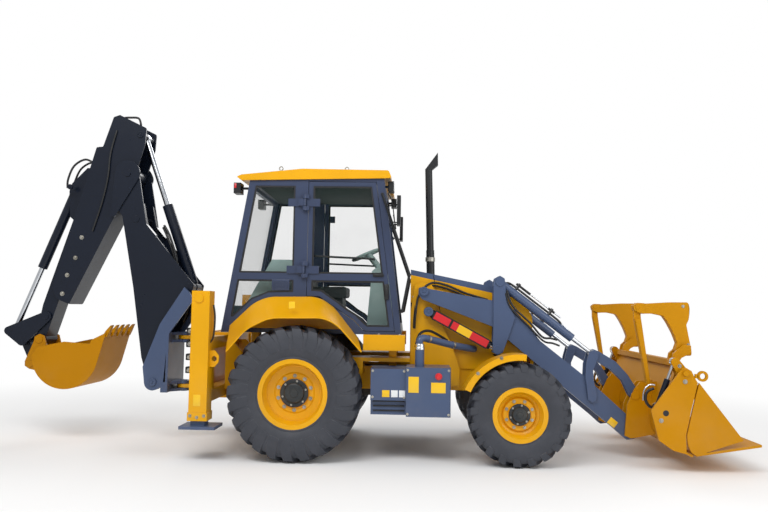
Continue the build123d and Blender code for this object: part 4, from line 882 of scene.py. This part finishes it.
roofSpec = {
    "liner": ((-480, 2744, -660), (700, 2757, 660)),
    "eyes": (-250, 440),
    "eyeHeight": 2926,
    "eyeOut": 640,
    "eyeUp": 0.012,
    "eyeBand": (0.005, 0.024, 0.015),
    "eyeFoot": ((-0.018, -0.012, -0.030), (0.018, 0.012, -0.008)),
    # route and radius of the wiper's arm and blade
    "wiper": ((((860, 2740, -300), (905, 2650, -260), (940, 2400, -120), (945, 2380, -110)), 0.006),
              (((925, 2500, -330), (945, 2380, -60)), 0.007)),
}
exhaustBand = {"place": (1327, 2029, -250), "band": (0.022, 0.052, 0.046)}


def makeHeadliner():
    bm = bmesh.new()
    low, high = roofSpec["liner"]
    softBox(bm, place(*low), place(*high))
    keepPiece("headliner", bm, "headLining", "chassis")


def makeRoofEyes(hand, s):
    bm = bmesh.new()
    low, high = roofSpec["eyeFoot"]
    for x in roofSpec["eyes"]:
        where = place(x, roofSpec["eyeHeight"], s * roofSpec["eyeOut"])
        spun(bm, bandProfile(*roofSpec["eyeBand"]), where + Vector((0, 0, roofSpec["eyeUp"])), (0, s, 0), 24)
        softBox(bm, where + Vector(low), where + Vector(high), 0.003)
    keepPiece(f"roof_eyes_{hand}", bm, "boltSteel", "chassis")


def makeWiper():
    bm = bmesh.new()
    for points, r in roofSpec["wiper"]:
        tube(bm, points, r)
    keepPiece("front_wiper", bm, "blackTrim", "chassis")


def makeExhaustBand():
    bm = bmesh.new()
    spun(bm, bandProfile(*exhaustBand["band"]), place(*exhaustBand["place"]), (0, 0, 1))
    keepPiece("exhaust_band", bm, "boltSteel", "chassis")


makeHeadliner()
for hand, s in hands:
    makePanelBoxes("vent", hand, s, "vent", "cabPaint", "chassis")
    makePanelBoxes("door_handle", hand, s, "handle", "blackTrim", f"door_{hand}")
    makeRoofEyes(hand, s)
makeWiper()
makeExhaustBand()
print("cab extras done")


intakeSpec = {
    "route": ((1218, 1130, -880), (1218, 1180, -880), (1250, 1205, -860), (1330, 1190, -800), (1560, 1130, -640),
              (1760, 1090, -470), (1790, 1085, -420)),
    "r": 0.036,
    "bands": ((1310, 1196, -816), (1560, 1130, -640)),
    "band": (0.010, 0.040, 0.036),
    "bandAxis": (0.80, 0.56, -0.2),
}


def makeIntakePipe():
    # The pipe from the side tanks up to the engine, with two clamps.
    bm = bmesh.new()
    tube(bm, intakeSpec["route"], intakeSpec["r"], 20)
    for spot in intakeSpec["bands"]:
        spun(bm, bandProfile(*intakeSpec["band"]), place(*spot), Vector(intakeSpec["bandAxis"]).normalized(), 24, 1)
    keepPiece("intake_pipe", bm, "slatePaint boltSteel", "chassis")


def mirrored(route):
    # The same route on the machine's other side.
    return tuple((x, z, -y) for x, z, y in route)


boomRoute = ((-1480, 1300, -150), (-1420, 1560, -170), (-1470, 1960, -165), (-1560, 2240, -150), (-1640, 2380, -140))
bucketRoute = ((-2790, 2800, -70), (-2780, 2900, -85), (-2715, 3050, -90), (-2590, 3125, -90), (-2480, 3080, -90))
armRoute = ((2110, 1700, -600), (2170, 1540, -602), (2345, 1372, -600), (2470, 1230, -600), (2560, 1215, -596),
            (2625, 1200, -586))
tiltRoute = ((2108, 1776, -530), (2172, 1758, -530), (2395, 1590, -530), (2640, 1403, -530), (2672, 1352, -530))
hoses = {
    # body, radius and route of each hose
    "hood_hose": ("chassis", 0.012, ((1165, 1290, -500), (1175, 1450, -520), (1210, 1640, -500), (1330, 1765, -470),
                                     (1500, 1745, -455), (1700, 1665, -450), (1930, 1600, -445))),
    "hood_hose_low": ("chassis", 0.010, ((1150, 1260, -460), (1160, 1450, -462), (1190, 1640, -456),
                                         (1320, 1738, -446), (1500, 1712, -440), (1700, 1632, -440))),
    "tank_hose": ("chassis", 0.014, ((1180, 1120, -820), (1220, 1240, -700), (1320, 1270, -600), (1460, 1200, -500),
                                     (1560, 1130, -430))),
    "fuel_hose": ("chassis", 0.008, ((1130, 1560, -430), (1150, 1400, -450), (1220, 1330, -450),
                                     (1300, 1350, -440))),
    "boom_hose": ("boom", 0.013, boomRoute),
    "boom_hose_inner": ("boom", 0.013, ((-1480, 1300, -110), (-1440, 1560, -120), (-1500, 1960, -125),
                                        (-1600, 2240, -120), (-1660, 2360, -110))),
    "boom_hose_far": ("boom", 0.013, mirrored(boomRoute)),
    "dipper_loop": ("dipper", 0.012, ((-2170, 3540, -100), (-2160, 3600, -100), (-2080, 3610, -95),
                                      (-1990, 3600, -95), (-1960, 3520, -95))),
    "bucket_hose": ("dipper", 0.012, bucketRoute),
    "bucket_hose_far": ("dipper", 0.012, mirrored(bucketRoute)),
    "dipper_hose": ("dipper", 0.010, ((-2200, 3440, -186), (-2260, 3180, -190), (-2280, 2900, -190),
                                      (-2340, 2600, -190), (-2430, 2300, -188))),
    "arm_hose": ("loader_arms", 0.011, armRoute),
    "arm_hose_low": ("loader_arms", 0.010, ((2100, 1670, -597), (2150, 1520, -600), (2330, 1340, -598),
                                            (2480, 1190, -596), (2580, 1165, -594), (2650, 1140, -584))),
    "arm_hose_left": ("loader_arms", 0.011, mirrored(armRoute)),
    "tilt_hose": ("tilt_barrels", 0.012, tiltRoute),
    "tilt_hose_left": ("tilt_barrels", 0.012, mirrored(tiltRoute)),
    "leg_hose": ("chassis", 0.009, ((-800, 1500, -1090), (-780, 1380, -1100), (-790, 1200, -1100),
                                    (-830, 1130, -1080))),
}
gaugeSpec = {
    "pins": ((2040, 1784), (2999, 1057)),  # of the tilt cylinder
    "out": 530,
    # start and end along the cylinder, height above it at each, radius, paint slot
    "rods": ((150, 720, 96, 96, 0.008, 0), (150, 330, 96, 96, 0.013, 1), (560, 640, 96, 96, 0.013, 1),
             (700, 940, 62, 32, 0.006, 0)),
    "brackets": (180, 600),
    "bracketRise": (40, 118),
    "bracketR": 0.016,
}
bucketPipes = (
    # radius, paint slot and route
    (0.014, 0, ((3462, 770, 1015), (3400, 735, 1010), (3385, 660, 1010), (3420, 600, 1015), (3470, 590, 1020))),
    (0.008, 1, ((3480, 800, 1000), (3430, 800, 985), (3380, 740, 980), (3372, 650, 980))),
)
valveSpec = {
    "heights": (760, 900, 1040, 1180),
    "x": (-1310, -1215),
    "height": 70,
    "reach": (180, 270),
    "edge": 0.008,
    "couplingX": -1262,
    "coupling": ((0, 0.022), (0.030, 0.022), (0.030, 0.014), (0.060, 0.014), (0.060, 0)),
}


def makeLevelGauge(hand, s):
    # A bright rod in two brackets above the tilt cylinder, which shows how the bucket lies.
    at = alongPins(*gaugeSpec["pins"])
    out = s * gaugeSpec["out"]
    bm = bmesh.new()
    for start, stop, rise0, rise1, r, paintSlot in gaugeSpec["rods"]:
        tube(bm, [(*at(start, rise0), out), (*at(stop, rise1), out)], r, 12, 2, paintSlot)
    for start in gaugeSpec["brackets"]:
        tube(bm, [(*at(start, rise), out) for rise in gaugeSpec["bracketRise"]], gaugeSpec["bracketR"], 8, 2, 1)
    keepPiece(f"level_gauge_{hand}", bm, "chrome blackPaint", "tilt_barrels")


def makeBucketPipes(hand, s):
    # The hose and pipe at the back of the bucket.
    bm = bmesh.new()
    for r, paintSlot, route in bucketPipes:
        tube(bm, [(x, z, s * y) for x, z, y in route], r, paintSlot=paintSlot)
    keepPiece(f"bucket_pipes_{hand}", bm, "hoseRubber chrome", "loader_bucket")


def makeKingpostValves():
    # Valve blocks on the kingpost, each with a coupling that faces right.
    reach = valveSpec["reach"]
    x0, x1 = valveSpec["x"]
    bm = bmesh.new()
    for z in valveSpec["heights"]:
        sideBox(bm, -1, (x0, z), (x1, z + valveSpec["height"]), reach, valveSpec["edge"])
        spot = place(valveSpec["couplingX"], z + valveSpec["height"] / 2, -reach[1])
        spun(bm, valveSpec["coupling"], spot, (0, -1, 0), 16, 1)
    keepPiece("kingpost_valves", bm, "blackPaint boltSteel", "kingpost")


makeIntakePipe()
for name, (body, r, route) in hoses.items():
    bm = bmesh.new()
    tube(bm, route, r)
    keepPiece(name, bm, "hoseRubber", body, smoothTo=60)
for hand, s in hands:
    makeLevelGauge(hand, s)
for hand, s in hands:
    makeBucketPipes(hand, s)
makeKingpostValves()
print("hoses done")


studioSpec = {
    "floorSize": 120,
    "floorColour": (0.93, 0.93, 0.93, 1),
    "fade": (4.0, 9.0),  # where the floor's shade gives way to white, in metres from the middle
    "white": (1, 1, 1, 1),
    "ambient": 0.58,
    # place, target, size and power
    "lamps": {
        "key_light": ((-2.0, -6.5, 7.5), (0, 0, 1.2), (6, 3), 400),
        "fill_light": ((6.0, -5.0, 4.0), (0.5, 0, 1.0), (4, 4), 130),
        "rim_light": ((0.0, 7.0, 6.0), (0, 0, 1.0), (7, 3), 260),
    },
    "camera": {"place": (0.6388, -8.334, 1.4987), "yaw": 2.219, "pitch": 3.977, "roll": 0.902, "lens": 35.0,
               "sensor": 36.0, "clipEnd": 200},
}
scene = bpy.context.scene
scene.view_settings.view_transform = "Standard"


def makeFloor():
    # A pale floor that keeps the shadow and turns white further out.
    bm = bmesh.new()
    bmesh.ops.create_grid(bm, x_segments=2, y_segments=2, size=studioSpec["floorSize"] / 2)
    mesh = bpy.data.meshes.new("studio_floor")
    bm.to_mesh(mesh)
    bm.free()
    floor = bpy.data.objects.new("studio_floor", mesh)
    scene.collection.objects.link(floor)
    ground = Finish("studio_floor")
    away = ground.node("ShaderNodeVectorMath", {"operation": "LENGTH"}, {0: ground.spot}, out="Value")
    seen = ground.node("ShaderNodeLightPath", out="Is Camera Ray")
    paper = ground.node("ShaderNodeBsdfDiffuse", None, {"Color": studioSpec["floorColour"]})
    white = ground.node("ShaderNodeEmission", None, {"Color": studioSpec["white"], "Strength": 1.0})
    share = ground.step(away, *studioSpec["fade"]) * seen
    ground.end("ShaderNodeOutputMaterial", ground.node("ShaderNodeMixShader", None, {0: share, 1: paper, 2: white}))
    mesh.materials.append(ground.material)


def makeWorld():
    # Even light on the object, and a white backdrop to the camera and through glass.
    world = bpy.data.worlds.new("studio")
    scene.world = world
    sky = Graph(world)
    seen = sky.node("ShaderNodeLightPath", out="Is Camera Ray")
    through = sky.node("ShaderNodeLightPath", out="Is Transmission Ray")
    direct = sky.node("ShaderNodeMath", {"operation": "MAXIMUM"}, {0: seen, 1: through})
    plain, backdrop = (sky.node("ShaderNodeBackground", None, {"Color": studioSpec["white"], "Strength": strength})
                       for strength in (studioSpec["ambient"], 1.0))
    sky.end("ShaderNodeOutputWorld", sky.node("ShaderNodeMixShader", None, {0: direct, 1: plain, 2: backdrop}))


def makeLamp(name, spot, target, size, power):
    lamp = bpy.data.lights.new(name, "AREA")
    lamp.shape = "RECTANGLE"
    lamp.size, lamp.size_y = size
    lamp.energy = power
    holder = bpy.data.objects.new(name, lamp)
    scene.collection.objects.link(holder)
    holder.location = spot
    holder.rotation_euler = (Vector(target) - Vector(spot)).to_track_quat("-Z", "Y").to_euler()


def makeCamera(spec):
    # The camera looks along the frame's Y, turned by its yaw, pitch and roll in degrees.
    yaw, pitch, roll = (radians(spec[key]) for key in ("yaw", "pitch", "roll"))
    ahead = Vector((-sin(yaw) * cos(pitch), cos(yaw) * cos(pitch), sin(pitch)))
    level = Vector((cos(yaw), sin(yaw), 0))
    up = level.cross(ahead)
    right = cos(roll) * level + sin(roll) * up
    top = cos(roll) * up - sin(roll) * level
    data = bpy.data.cameras.new("camera")
    data.lens = spec["lens"]
    data.sensor_width = spec["sensor"]
    data.clip_end = spec["clipEnd"]
    camera = bpy.data.objects.new("camera", data)
    scene.collection.objects.link(camera)
    camera.matrix_world = Matrix.Translation(spec["place"]) @ Matrix((right, top, -ahead)).transposed().to_4x4()
    scene.camera = camera


makeFloor()
makeWorld()
for name, lampSpec in studioSpec["lamps"].items():
    makeLamp(name, *lampSpec)
makeCamera(studioSpec["camera"])
print("studio done")
